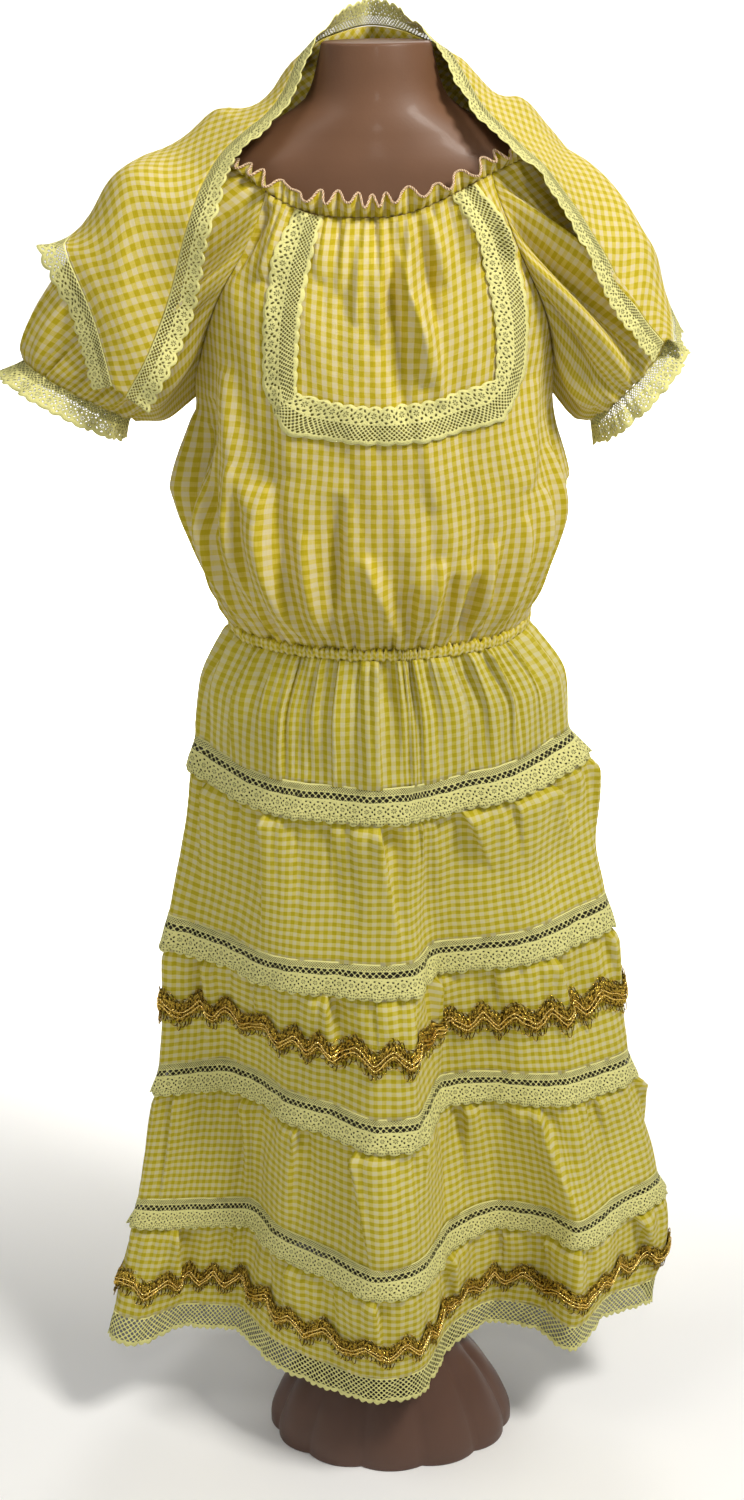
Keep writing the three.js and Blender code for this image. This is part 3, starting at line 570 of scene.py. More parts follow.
def strands(name, rings, looped, u_pitch, v_pitch):
    """One object of many threads alike, each a tube of rings, with the pitch of its rings and sides."""
    number, rows, sides = rings.shape[:3]
    cells = grid_faces(rows, sides, True, looped)
    faces = cells[None] + (np.arange(number) * rows * sides)[:, None, None]
    uv = grid_uv(np.arange(rows + looped)[:, None] * u_pitch, np.arange(sides + 1)[None] * v_pitch)
    uv = np.broadcast_to(uv[None], (number, *uv.shape))
    return link_mesh(name, rings.reshape(-1, 3), faces.reshape(-1, 4), uv.reshape(-1, 2))


# ------------------------------------------------------------------ materials
# Settings of nodes that many patterns share. Inputs 6 and 7 of a Mix node are its two colours.
SOFT = {"interpolation_type": "SMOOTHSTEP"}
PLUS, LESS, TIMES, TIMES_PLUS = (
    {"operation": name} for name in ("ADD", "SUBTRACT", "MULTIPLY", "MULTIPLY_ADD"))


def linear(value):
    """Linear colour, with alpha, of an sRGB hex value."""
    parts = np.array([int(value[i:i + 2], 16) for i in (0, 2, 4)]) / 255
    return (*np.where(parts <= 0.04045, parts / 12.92, ((parts + 0.055) / 1.055) ** 2.4), 1.0)


def add(tree, kind, inputs=(), **options):
    """Adds a node with its settings, and its inputs by order or by name, each a value or an output to
    link. Gives the output: the first, or a mixed colour."""
    node = tree.nodes.new("ShaderNode" + kind)
    for name, value in options.items():
        setattr(node, name, value)
    for name, value in inputs.items() if isinstance(inputs, dict) else enumerate(inputs):
        if isinstance(value, bpy.types.NodeSocket):
            tree.links.new(value, node.inputs[name])
        elif value is not None:
            node.inputs[name].default_value = value
    return node.outputs[2 if options.get("data_type") == "RGBA" else 0] if node.outputs else None


def new_material(name):
    """An empty node material and its tree."""
    material = bpy.data.materials.new(name)
    material.use_nodes = True
    material.node_tree.nodes.clear()
    return material, material.node_tree


def cover(material, inputs):
    """Gives the material its surface, from the shader's inputs by name."""
    shader = add(material.node_tree, "BsdfPrincipled", inputs)
    add(material.node_tree, "OutputMaterial", {"Surface": shader})
    return material


def ripple(tree, value, pitch):
    """Sine of a length in metres over a pitch in mm."""
    angle = add(tree, "Math", (value, TURN / (pitch * MM)), **TIMES)
    return add(tree, "Math", (angle,), operation="SINE")


def cut_uv(tree):
    """The place on the cut piece in metres: as a vector, along its columns and down its rows."""
    uv = add(tree, "UVMap", uv_map="cut")
    parts = add(tree, "SeparateXYZ", (uv,)).node.outputs
    return uv, parts[0], parts[1]


# The skirt's gingham is painted a little greener than the bodice's, a painted cast of the light on it, and
# the casing's is painted brighter, for the light on its ridge of gathers.
SKIRT_LIGHT_TINT, CASING_PAINTED_LIGHT = (0.97, 1.015, 0.94), (1.12, 1.14, 1.0)


def gingham(name, strong, light_tint=(1, 1, 1)):
    """Yarn-dyed cotton gingham, plain woven: matt, with a faint sheen of short fibres on its folds.

    Both sets of threads are dyed in stripes of half a check. Where both are dyed the square is full
    yellow, where one is the square is in between, and the rest is undyed. strong is how much of the
    yellow the stripes along v give, against those across it, and the last argument is painted light: a
    tint of the light that falls on the piece, multiplied into its colour.
    """
    material, tree = new_material(name)
    colours, check = settings("colours"), settings("sizes").check / MM
    uv, u, v = cut_uv(tree)
    # The stripes wander by up to 0.8 mm to each side.
    wander = add(tree, "TexNoise", (uv, None, 45.0, 2.0))
    wander = add(tree, "Math", (wander, 0.5), **LESS)
    u, v = (add(tree, "Math", (wander, 0.0016, k), **TIMES_PLUS) for k in (u, v))
    along, across = (
        add(tree, "MapRange", (ripple(tree, k, check), -0.25, 0.25, 0, 1), **SOFT) for k in (u, v))
    dye = add(tree, "Math", (along, strong, add(tree, "Math", (across, 1 - strong), **TIMES)), **TIMES_PLUS)
    # Slubs: threads that are here and there thicker and darker, 0.8 mm wide and about 20 mm long.
    slub = None
    for scale in ((1300.0, 45.0, 1.0), (45.0, 1300.0, 1.0)):
        stretched = add(tree, "Mapping", {"Vector": uv, "Scale": scale})
        one = add(tree, "TexNoise", (stretched, None, 1.0, 1.0))
        slub = one if slub is None else add(tree, "Math", (slub, one), **PLUS)
    dye = add(tree, "Math", (add(tree, "Math", (slub, 1.0), **LESS), 0.35, dye), **TIMES_PLUS)
    low = add(tree, "Mix", {0: add(tree, "MapRange", (dye, 0.0, 0.5, 0, 1), **SOFT), 6: colours.undyed,
                            7: colours.middle}, data_type="RGBA")
    colour = add(tree, "Mix", {0: add(tree, "MapRange", (dye, 0.5, 1.0, 0, 1), **SOFT), 6: low,
                               7: colours.yellow}, data_type="RGBA")
    place = add(tree, "TexCoord").node.outputs["Object"]
    wash = add(tree, "TexNoise", (place, None, 8.0, 3.0))
    wash = add(tree, "MapRange", (wash, 0.3, 0.7, 0.92, 1.02), **SOFT)
    colour = add(tree, "VectorMath", {0: colour, "Scale": wash}, operation="SCALE")
    # Painted light: the colour is multiplied by the tint of the light that falls on the piece.
    colour = add(tree, "VectorMath", (colour, light_tint), operation="MULTIPLY")
    # The real threads are 0.3 mm apart; they are drawn 1 mm apart so that they show.
    threads = add(tree, "Math", (ripple(tree, u, 1.0), ripple(tree, v, 1.0)), **TIMES)
    # Small soft creases of worn cotton, 5 to 20 mm across.
    rumple = add(tree, "TexNoise", (uv, None, 55.0, 3.0, 0.55))
    weave = add(tree, "Math", (threads, 0.12, add(tree, "Math", (slub, 0.25), **TIMES)), **TIMES_PLUS)
    weave = add(tree, "Math", (rumple, 1.4, weave), **TIMES_PLUS)
    relief = add(tree, "Bump", {"Strength": 0.55, "Distance": 0.002, "Height": weave})
    return cover(material, {
        "Base Color": colour, "Roughness": 0.8, "IOR": 1.5, "Specular IOR Level": 0.3, "Normal": relief,
        "Sheen Weight": 0.08, "Sheen Roughness": 0.5, "Sheen Tint": colours.undyed,
    })


def lace(name, see, rows):
    """Machine-made cotton lace: dull soft thread, thick in its motifs and open in its net.

    See is the share of what lies behind that shows in a hole; the rest of the hole is painted shade, in
    the hole colour. Each row is its two edges down from the top in mm, its kind, its pitch and how open
    it is: a net of diamond holes, a row of round flowers with seven petals, or fans, close work with
    pinholes.
    """
    material, tree = new_material(name)
    colours = settings("colours")
    uv, u, v = cut_uv(tree)
    uneven = add(tree, "TexNoise", (uv, None, 90.0, 1.0))
    sum_uv = add(tree, "Math", (u, v), **PLUS)
    less_uv = add(tree, "Math", (u, v), **LESS)
    holes, thick = None, None
    for low, high, kind, pitch, open_share in rows:
        if kind == "net":
            slants = ripple(tree, sum_uv, 2 * pitch), ripple(tree, less_uv, 2 * pitch)
            net = add(tree, "Math", (add(tree, "Math", slants, **TIMES),), operation="ABSOLUTE")
            hole = add(tree, "Math", (add(tree, "Math", (uneven, 0.5), **LESS), 0.5, net), **TIMES_PLUS)
        elif kind == "flowers":
            # x and y in mm from the flower's middle; holes lie between petals and in a ring round it.
            spot = add(tree, "Math", (add(tree, "Math", (u, 1000 / pitch), **TIMES),), operation="FRACT")
            x = add(tree, "Math", (add(tree, "Math", (spot, 0.5), **LESS), pitch), **TIMES)
            y = add(tree, "Math", (v, 1000.0, -(low + high) / 2), **TIMES_PLUS)
            turned = add(tree, "Math", (y, x), operation="ARCTAN2")
            far = add(tree, "VectorMath", (add(tree, "CombineXYZ", (x, y)),), operation="LENGTH")
            far = far.node.outputs["Value"]
            petals = add(tree, "Math", (add(tree, "Math", (turned, 7.0), **TIMES),), operation="COSINE")
            ring = add(tree, "Math", (add(tree, "Math", (far, TURN / (0.30 * pitch), -1.2), **TIMES_PLUS),),
                       operation="SINE")
            hole = add(tree, "Math", (petals, 0.45, add(tree, "Math", (ring, 0.55), **TIMES)), **TIMES_PLUS)
        else:
            cells = add(tree, "TexVoronoi", {"Vector": uv, "Scale": 1000 / pitch, "Randomness": 0.55},
                        feature="F1", voronoi_dimensions="2D")
            hole = add(tree, "MapRange", (cells, 0.0, 0.6, 1.0, 0.0))
        cut = add(tree, "MapRange", (hole, 1 - open_share - 0.1, 1 - open_share + 0.1, 0, 1), **SOFT)
        below = add(tree, "MapRange", (v, (low - 0.3) * MM, (low + 0.3) * MM, 0, 1), **SOFT)
        above = add(tree, "MapRange", (v, (high - 0.3) * MM, (high + 0.3) * MM, 1, 0), **SOFT)
        inside = add(tree, "Math", (below, above), **TIMES)
        cut = add(tree, "Math", (cut, inside), **TIMES)
        soft = add(tree, "Math", (hole, inside), **TIMES)
        holes = cut if holes is None else add(tree, "Math", (holes, cut), operation="MAXIMUM")
        thick = soft if thick is None else add(tree, "Math", (thick, soft), operation="MAXIMUM")
    solid = add(tree, "Math", (holes, -see, 1.0), **TIMES_PLUS)
    # The thread itself, about 1.4 mm thick.
    thread = add(tree, "TexNoise", (uv, None, 700.0, 2.0))
    height = add(tree, "Math", (thick, -1.0, add(tree, "Math", (thread, 0.7), **TIMES)), **TIMES_PLUS)
    tone = add(tree, "MapRange", (height, -0.75, 0.25, 0, 1), **SOFT)
    colour = add(tree, "Mix", {0: tone, 6: colours.lace_shadow, 7: colours.lace}, data_type="RGBA")
    # Painted shade: the holes take the hole colour, and only the share see of what lies behind shows through
    # them.
    colour = add(tree, "Mix", {0: holes, 6: colour, 7: colours.painted_hole_shade}, data_type="RGBA")
    relief = add(tree, "Bump", {"Strength": 0.7, "Distance": 0.0012, "Height": height})
    return cover(material, {
        "Base Color": colour, "Roughness": 0.8, "IOR": 1.5, "Specular IOR Level": 0.3, "Normal": relief,
        "Sheen Weight": 0.2, "Sheen Roughness": 0.4, "Sheen Tint": colours.lace, "Alpha": solid,
    })


def gimp(name):
    """Gimp braid of crimped metallised thread: gold-brown strands across the braid, bright where one
    faces the light and dark between them."""
    material, tree = new_material(name)
    colours = settings("colours")
    uv, u, v = cut_uv(tree)
    # Threads 2.5 mm wide and three times as long across the braid, and crimps 2.4 mm apart.
    across = add(tree, "CombineXYZ", (u, add(tree, "Math", (v, 0.3), **TIMES)))
    threads = add(tree, "TexNoise", (across, None, 400.0, 3.0, 0.7))
    crimp = add(tree, "TexVoronoi", {"Vector": uv, "Scale": 1000 / 2.4}, feature="F1",
                voronoi_dimensions="2D")
    height = add(tree, "Math", (crimp, -0.5, threads), **TIMES_PLUS)
    tone = add(tree, "MapRange", (height, 0.14, 0.5, 0, 1), **SOFT)
    colour = add(tree, "Mix", {0: tone, 6: colours.gold_shadow, 7: colours.gold}, data_type="RGBA")
    relief = add(tree, "Bump", {"Strength": 1.0, "Distance": 0.0035, "Height": height})
    rough = add(tree, "MapRange", (crimp, 0.1, 0.6, 0.18, 0.45), **SOFT)
    return cover(material, {"Base Color": colour, "Metallic": 0.75, "Roughness": rough,
                            "Specular Tint": colours.gold, "Normal": relief})


def bright_thread(name):
    """Bright metallised cord laid on the braid: smooth, twisted, mirror-like along its top."""
    material, tree = new_material(name)
    colours = settings("colours")
    _, u, v = cut_uv(tree)
    twist = ripple(tree, add(tree, "Math", (u, v), **PLUS), 2.4)
    relief = add(tree, "Bump", {"Strength": 0.6, "Distance": 0.0006, "Height": twist})
    return cover(material, {"Base Color": colours.bright_gold, "Metallic": 0.85, "Roughness": 0.2,
                            "Specular Tint": colours.bright_gold, "Normal": relief})


def overlock_thread(name):
    """Overlock stitching in spun polyester: pale, dull, wound in close slanting turns."""
    material, tree = new_material(name)
    colours = settings("colours")
    _, u, v = cut_uv(tree)
    turns = ripple(tree, add(tree, "Math", (u, v), **PLUS), 1.8)
    tone = add(tree, "MapRange", (turns, -0.6, 0.6, 0, 1), **SOFT)
    colour = add(tree, "Mix", {0: tone, 6: colours.thread_shadow, 7: colours.thread}, data_type="RGBA")
    relief = add(tree, "Bump", {"Strength": 0.7, "Distance": 0.0006, "Height": turns})
    return cover(material, {"Base Color": colour, "Roughness": 0.75, "Specular IOR Level": 0.3,
                            "Normal": relief})


def satin_plastic(name, colour, roughness):
    """Blow-moulded polyethylene, sprayed skin brown: satin, with the faint orange peel of the spray."""
    material, tree = new_material(name)
    place = add(tree, "TexCoord").node.outputs["Object"]
    mottle = add(tree, "TexNoise", (place, None, 14.0, 4.0))
    tint = add(tree, "MapRange", (mottle, 0.3, 0.7, 0.92, 1.04), **SOFT)
    tone = add(tree, "VectorMath", {0: colour[:3], "Scale": tint}, operation="SCALE")
    peel = add(tree, "TexNoise", (place, None, 420.0, 2.0))
    relief = add(tree, "Bump", {"Strength": 0.12, "Distance": 0.0005, "Height": peel})
    gloss = add(tree, "MapRange", (mottle, 0.3, 0.7, roughness - 0.03, roughness + 0.05), **SOFT)
    return cover(material, {"Base Color": tone, "Roughness": gloss, "IOR": 1.5, "Normal": relief,
                            "Specular IOR Level": 0.35, "Coat Weight": 0.04, "Coat Roughness": 0.14})


# ------------------------------------------------------------------ pieces of the form
def lathe(name, rings):
    """A closed stack of rings, from the top down. Its ends narrow and are closed by one face each."""
    rows, columns = rings.shape[:2]
    around = np.arange(columns)
    return link_mesh(name, rings.reshape(-1, 3), grid_faces(rows, columns, True),
                     ends=(around, ((rows - 1) * columns + around)[::-1]))


class DRESS_OT_form(bpy.types.Operator):
    """Moulds the limbless torso and its fluted stand"""

    bl_idname = "dress.form"
    bl_label = "Dress form"

    def execute(self, context):
        """Torso: an oval at each height, its half width, front and back read from the table. Stand: ovals
        whose radius dips between the flutes by the depth times one less the cosine of half the turn."""
        colours = settings("colours")
        plastic = satin_plastic("sprayed moulded plastic", tuple(colours.form), 0.5)
        base = satin_plastic("sprayed moulded plastic of the stand", tuple(colours.stand), 0.42)
        # Each ring is drawn in by pull from the table's oval, to round the edges and close the ends,
        # but never to less than the least radius. The neck is cut flat, with a small round rim.
        least, sides, round_rim = 4, 96, 2.2
        top, low = TORSO[0][0], TORSO[-1][0]
        rim = np.linspace(0, np.pi / 2, 6)
        z = np.concatenate([[top], top - round_rim * (1 - np.cos(rim)), np.linspace(top - 4, low + 2, 96),
                            [low + 0.6, low, low]])
        pull = np.concatenate([[40], round_rim * (1 - np.sin(rim)), np.zeros(96), [1, 3, 40]])
        half, front, back = (k[:, None] for k in table_curves(TORSO)(z))
        z, pull, turn = z[:, None], pull[:, None], round_shares(sides) * TURN
        wide = np.maximum(half - pull, least)
        deep = np.maximum(np.where(np.cos(turn) > 0, -front, back) - pull, least)
        rings = np.stack(np.broadcast_arrays(wide * np.sin(turn), -np.cos(turn) * deep, z), -1)
        finish_piece(lathe("torso", rings), plastic, "form", "form_torso")

        top = STAND[0][0]
        z = np.concatenate([[top], np.linspace(top - 0.2, 12, 76), np.linspace(11, 2, 4), [0.6, 0, 0]])
        pull = np.concatenate([[30], np.zeros(80), [0.6, 2, 60]])
        half, deep, middle, flute = (k[:, None] for k in table_curves(STAND)(z))
        z, pull, turn = z[:, None], pull[:, None], round_shares(12 * FLUTES) * TURN
        pull = pull + flute * (1 - np.abs(np.cos(FLUTES * turn / 2)) ** 0.8)
        wide, deep = np.maximum(half - pull, least), np.maximum(deep - pull, least)
        rings = np.stack(np.broadcast_arrays(wide * np.sin(turn), middle - deep * np.cos(turn), z), -1)
        finish_piece(lathe("stand", rings), base, "form", "form_stand")
        return {"FINISHED"}


# ------------------------------------------------------------------ pieces of the bodice
# Folds of the bodice's front: angle from the front and height of one end, of the other, half width in
# degrees, height, and bend.
FRONT_FOLDS = [
    (-34, 1170, -29, 1022, 4.2, 6.1, 3), (-46, 1180, -40, 1024, 3.6, 5, 3), (-12, 1168, -14, 1056, 3, -5, 0),
    (-22, 1130, -20, 1022, 3, 4.4, 1), (-5, 1112, 5, 1020, 3, 5.5, 0), (-10, 1060, -8, 1020, 3, -3, 0),
    (17, 1105, 12, 1024, 3, 6.6, -1), (9, 1080, 9, 1020, 3, -4, 0), (27, 1100, 24, 1022, 3, 4.4, 0),
    (22, 1090, 19, 1020, 3, -3.5, 0), (35, 1112, 37, 1022, 3, 5.5, 1), (46, 1130, 44, 1024, 3, 4.4, -2),
    (30, 1085, 30, 1020, 3, -3, 0), (56, 1150, 52, 1026, 3.6, 5.5, -2), (66, 1180, 64, 1030, 3.6, 4.4, 0),
    (-58, 1190, -52, 1030, 3.6, 5.5, 3), (-68, 1200, -64, 1034, 3.6, -5, 3),
    (-76, 1210, -74, 1040, 3.6, 5.5, 2), (-52, 1250, -38, 1140, 7, 4, 4), (-62, 1225, -50, 1110, 5, -4, 4),
    (74, 1215, 70, 1050, 3, -3.9, 0), (58, 1238, 48, 1150, 6, 3, -2),
    (10, 1400, 7, 1335, 2.2, 4.1, 0), (1, 1400, 0, 1300, 2.4, 4.9, 0), (5, 1380, 14, 1262, 2.6, 4.8, -1),
    (2, 1360, 7, 1230, 2.4, -3.2, -1), (8, 1345, 19, 1240, 2.8, 4.1, -1), (-5, 1400, -7, 1318, 2.4, 3.8, 0),
    (-11, 1400, -12, 1340, 2.4, 3, 0), (17, 1400, 20, 1335, 2.6, 3.5, 0), (13, 1395, 17, 1305, 2.4, -3.5, 0),
    (-18, 1400, -18, 1350, 3, 2.7, 0), (28, 1400, 31, 1340, 3, 3.2, 0), (36, 1402, 44, 1330, 3, 4.6, 1),
    (-32, 1402, -38, 1330, 3, 4.3, -1), (-38, 1400, -52, 1310, 3.2, -4.1, -1),
    (41, 1400, 55, 1300, 3.2, -4.1, 1), (12, 1240, 16, 1150, 5, 2.5, 0), (-30, 1250, -28, 1180, 6, 2, 0),
    (-84, 1140, -80, 1016, 13, -5.6, 0), (84, 1140, 80, 1016, 13, -6.1, 0),
]

# Folds of the back, by the angle from the middle of the back towards -X.
BACK_FOLDS = [
    (-60, 1190, -54, 1030, 3.6, 5.5, 3), (-44, 1150, -40, 1024, 3.6, 5.5, 2),
    (-30, 1170, -26, 1022, 3.6, -4.4, 1), (-18, 1120, -14, 1020, 3, 5.5, 0),
    (-6, 1160, -4, 1020, 3, -5, 0), (6, 1110, 5, 1020, 3, 6.1, 0),
    (18, 1150, 15, 1022, 3, -4.4, 0), (30, 1120, 27, 1022, 3, 5.5, -1), (43, 1165, 40, 1024, 3.6, -4.4, -2),
    (56, 1180, 52, 1028, 3.6, 5.5, -2), (70, 1200, 66, 1036, 3.6, 4.4, 0),
    (-72, 1200, -68, 1036, 3.6, 4.4, 0),
    (-36, 1400, -44, 1310, 3.2, 4.6, -1), (-22, 1400, -26, 1300, 3, 4.1, 0),
    (-10, 1400, -11, 1320, 2.8, 4.1, 0), (3, 1400, 2, 1290, 2.8, 4.0, 0),
    (14, 1400, 16, 1330, 2.8, 3.5, 0), (26, 1400, 30, 1305, 3, 4.3, 0),
    (38, 1400, 48, 1300, 3.2, 4.6, 1),
    (-84, 1140, -80, 1016, 13, -6.1, 0), (84, 1140, 80, 1016, 13, -5.6, 0),
]

# Gathers at the neck elastic and above the waist: pitch, fade and height of each row.
NECK_GATHERS = ((7.5, 18, 3.0), (17, 50, 5.0), (41, 110, 5.0))
WAIST_GATHERS = ((12, 30, 6.4), (19, 60, 8.0), (43, 110, 10.0), (96, 170, 7.0))
# How much taller the folds are than their tables say.
FOLD_TALL = 3.2
# The folds of each half, and the seed of its gathers.
FRONT, BACK = (FRONT_FOLDS, 11), (BACK_FOLDS, 23)
# The two halves: name, middle, folds and seed, rows, columns, flat width and length, and flat area.
BODICE_HALVES = (
    ("bodice_front", 0.0, FRONT, 100, 184, (0.52, 0.43), 0.19),
    ("bodice_back", np.pi, BACK, 70, 134, (0.52, 0.46), 0.20),
)


def bodice_height(high, degrees, half):
    """Height of the bodice's cloth over its smooth surface: gathers at the neck and the waist, listed
    folds, and faint seeded ripples. half is FRONT or BACK."""
    folds, seed = half
    down, up = NECK_ELASTIC - high, high - (WAIST_TOP - TUCK)
    around = degrees * BODICE_GATHERED
    height = gathers(around, down, seed, NECK_GATHERS)
    height += 0.5 + gathers(around, up, seed + 5, WAIST_GATHERS)
    height += FOLD_TALL * creases(degrees, high, folds)
    height += waves(around, seed + 7, (37, 61, 97), drift=0.4 * high) * step(0, 60, up)
    return height


def neck_ease(high):
    """0 at the neck elastic and 1 a little below it, where the folds have come up."""
    return step(-2, 5, NECK_ELASTIC - high + 2)


def bodice_panel(middle, half, rows, columns):
    """One half of the bodice, with its u and v: angles from seam to seam about the middle, heights from
    neck to waist, and folds pressed flat at the seams, the neck and the waist."""
    high = NECK_ELASTIC - 0.1 + (WAIST_TOP - TUCK - NECK_ELASTIC) * down_shares(rows)
    spot = np.linspace(-1, 1, columns)[None]
    offset = (seam_angle(high) - SEAM / 300) * spot
    degrees = np.degrees(offset)
    ends = step(0, 0.03, 1 - np.abs(spot))
    height = bodice_height(high, degrees, half) * (0.05 + 0.95 * ends)
    height *= neck_ease(high) * (0.4 + 0.6 * step(-8, 8, high - WAIST_TOP))
    points = bodice_surface(high, middle + offset) + bodice_way(high, middle + offset) * height[..., None]
    girth = BODICE_CUT * degrees
    return points, girth, np.broadcast_to((NECK_ELASTIC - high) * 1.05, girth.shape)


class DRESS_OT_bodice(bpy.types.Operator):
    """Sews the gathered front and back of the bodice"""

    bl_idname = "dress.bodice"
    bl_label = "Bodice"

    def execute(self, context):
        """Each half follows the bodice's ovals between the raglan seams, moved out by its folds."""
        cotton = gingham("yarn-dyed gingham, warp strong", 0.68)
        for name, *panel, flat, area in BODICE_HALVES:
            piece = cloth(name + "_cloth", *bodice_panel(*panel))
            finish_piece(piece, cotton, "gingham", name)
        return {"FINISHED"}


class DRESS_OT_chest_lace(bpy.types.Operator):
    """Lays the lace down, across and up the chest, with cut corners"""

    bl_idname = "dress.chest_lace"
    bl_label = "Chest lace"

    def execute(self, context):
        """A strip on the bodice's front: its run is 0 to 1 down the left, to 2 across and to 3 up the
        right, and each of its edges turns at its own corners. Its rows go from the inner edge outwards."""
        net = lace("cotton chest lace", 0.9, [
            (2, 15.5, "flowers", CHEST_SCALLOP, 0.4), (16.5, 30, "net", 3.9, 0.46)])
        run = np.linspace(0, 3, 420)

        def edge(keys, low, left, right, cut):
            """Heights and angles of one edge: keys are where its run turns, left and right its columns in
            the table, cut is how far its corners are cut off, in shares of the half width."""
            corner_high = low + 28 * (cut > 0)
            high = np.interp(run, keys, [NECK_ELASTIC, corner_high, low, low, corner_high, NECK_ELASTIC])
            lines, upper, corner = lace_edges(high), lace_edges(corner_high), lace_edges(low)
            turns = upper[left], corner[left] + cut, corner[right] - cut, upper[right]
            share = np.interp(run, keys[1:5], turns)
            share = np.where(run < keys[1], lines[left], np.where(run > keys[4], lines[right], share))
            return high, np.arcsin(share)

        high_in, angle_in = edge([0, 0.999, 1.001, 1.999, 2.001, 3], 1250.0, 1, 2, 0)
        high_out, angle_out = edge([0, 0.88, 1.12, 1.88, 2.12, 3], UNDERARM, 0, 3, 0.13)
        t = down_shares(11)
        high, angle = lerp(high_in, high_out, t), lerp(angle_in, angle_out, t)
        points = bodice_surface(high, angle)
        height = bodice_height(high, np.degrees(angle), FRONT) * neck_ease(high)
        along = np.concatenate([[0], np.cumsum(length(np.diff(points[len(t) // 2], axis=0)))])
        scallop = scallops(along, CHEST_SCALLOP)
        # Both edges are scalloped: the rows near them are drawn in between the scallops.
        inward = ((1 - t) ** 3 * 2.6 - t**3 * 2.2) * (1 - scallop)
        points = points + unit(points[-1] - points[0]) * inward[..., None]
        points = points + bodice_way(high, angle) * (height + 2.3 + 0.5 * (1 - t) * scallop)[..., None]
        # The v of its cut goes from the outer edge inwards on the left, and outwards on the rest.
        down = CHEST_WIDE * np.where(run < 1, 1 - t, t)
        piece = cloth("chest_lace_strip", points, np.broadcast_to(along, down.shape), down, thick=0.8)
        finish_piece(piece, net, "lace", "chest_lace")
        return {"FINISHED"}


# ------------------------------------------------------------------ sleeves
# Folds of the sleeves by share of the way round in percent, from the underarm by the front, and by
# percent of the way to the cuff.
SLEEVE_FOLDS = {
    "left": [
        (10, 4, 8, 70, 2.6, 5, 1), (17, 6, 13, 80, 2.6, -5, 1), (24, 4, 20, 88, 2.6, 6, 1),
        (31, 3, 27, 92, 2.6, -5, 1), (38, 2, 35, 80, 2.6, 5, 0), (46, 3, 45, 70, 3, -4, 0),
        (54, 3, 55, 75, 3, 5, 0), (62, 3, 63, 80, 3, -4, 0), (71, 4, 74, 85, 3, 5, 0),
        (80, 5, 84, 80, 3, -4, 0), (90, 6, 92, 70, 3, 4, 0),
        (15, 60, 16, 100, 2, 4, 0), (28, 62, 29, 100, 2, 4, 0), (41, 60, 40, 100, 2, 4, 0),
        (57, 60, 58, 100, 2, 4, 0), (68, 62, 68, 100, 2, 4, 0), (83, 60, 82, 100, 2, 4, 0),
    ],
    "right": [
        (9, 4, 8, 80, 2.6, 5, 0), (16, 5, 14, 90, 2.4, -6, 0), (22, 3, 19, 96, 2.4, 8, 1),
        (27.5, 3, 24.5, 96, 2.2, -8, 1), (33, 2, 30, 94, 2.4, 8, 1), (39, 2, 36, 84, 2.4, -6, 0),
        (45, 2, 44, 74, 2.6, 5, 0), (53, 3, 54, 70, 3, -4, 0), (61, 3, 62, 75, 3, 5, 0),
        (70, 4, 72, 80, 3, -4, 0), (79, 5, 82, 80, 3, 5, 0), (89, 6, 91, 70, 3, -4, 0),
        (13, 62, 12, 100, 2, 4, 0), (48, 60, 48, 100, 2, 4, 0), (58, 62, 58, 100, 2, 4, 0),
        (75, 60, 75, 100, 2, 4, 0), (86, 60, 85, 100, 2, 4, 0),
    ],
}
# Where the arm's own line begins, on the right.
SHOULDER_MIDDLE = (150, 0, 1350)


def sleeve_seam(side, q):
    """Point of the loop where a sleeve joins the bodice, by the share q of the way round.

    Up the front seam to SEAM_SHARE, over the shoulder along the neck elastic, and down the back seam in
    the same share. The gap at the seam is turned into an angle by the bodice's reach.
    """
    nearer = np.minimum(q, 1 - q)
    climb = np.interp(nearer / SEAM_SHARE, np.linspace(0, 1, len(ARMHOLE_HIGHS)), ARMHOLE_HIGHS)
    neck = seam_angle(NECK_ELASTIC) + SEAM / 150
    angle = np.where(q < 0.5, seam_angle(climb), np.pi - seam_angle(climb))
    angle += np.where(q < 0.5, 1, -1) * SEAM / 150 * step(0, 0.1, nearer)
    over = (q > SEAM_SHARE) & (q < 1 - SEAM_SHARE)
    angle = np.where(over, lerp(neck, np.pi - neck, (q - SEAM_SHARE) / (1 - 2 * SEAM_SHARE)), angle)
    high = np.where(over, NECK_ELASTIC, climb + 2 * SEAM * (climb < UNDERARM + 1))
    return bodice_surface(high, side * angle)


def sleeve_surface(sleeve, q, w):
    """Point of a sleeve at the share q round it and the share w from its seam to the cuff.

    A straight line from the seam's loop to the cuff's oval, pushed away from the arm's own line by the
    puff, which is full in the middle and differs below, in front, on top and behind.
    """
    side, centre, inner, front, wide, deep, (below, before, above, behind) = sleeve
    q, w = np.broadcast_arrays(q, w)
    start = sleeve_seam(side, q)
    centre, inner, front = (np.array(k, float) for k in (centre, inner, front))
    inner, front = inner / np.linalg.norm(inner), front / np.linalg.norm(front)
    c, s, w = np.cos(TURN * q)[..., None], np.sin(TURN * q)[..., None], w[..., None]
    cuff = centre + inner * wide * c + front * deep * s
    point = lerp(start, cuff, w)
    out = unit(point - lerp(np.array(SHOULDER_MIDDLE) * (side, 1, 1), centre, w))
    full = c * c * np.where(c > 0, below, above) + s * s * np.where(s > 0, before, behind)
    swell = np.maximum(np.sin(np.pi * np.clip(w, 0, 1) ** 1.25), 0) ** 0.7
    return point + out * full * swell


def sleeve_shares(side, columns):
    """Shares round a sleeve, in the order that keeps its outer side out: the left one's run backwards."""
    q = round_shares(columns)
    return q[:, ::-1] if side < 0 else q


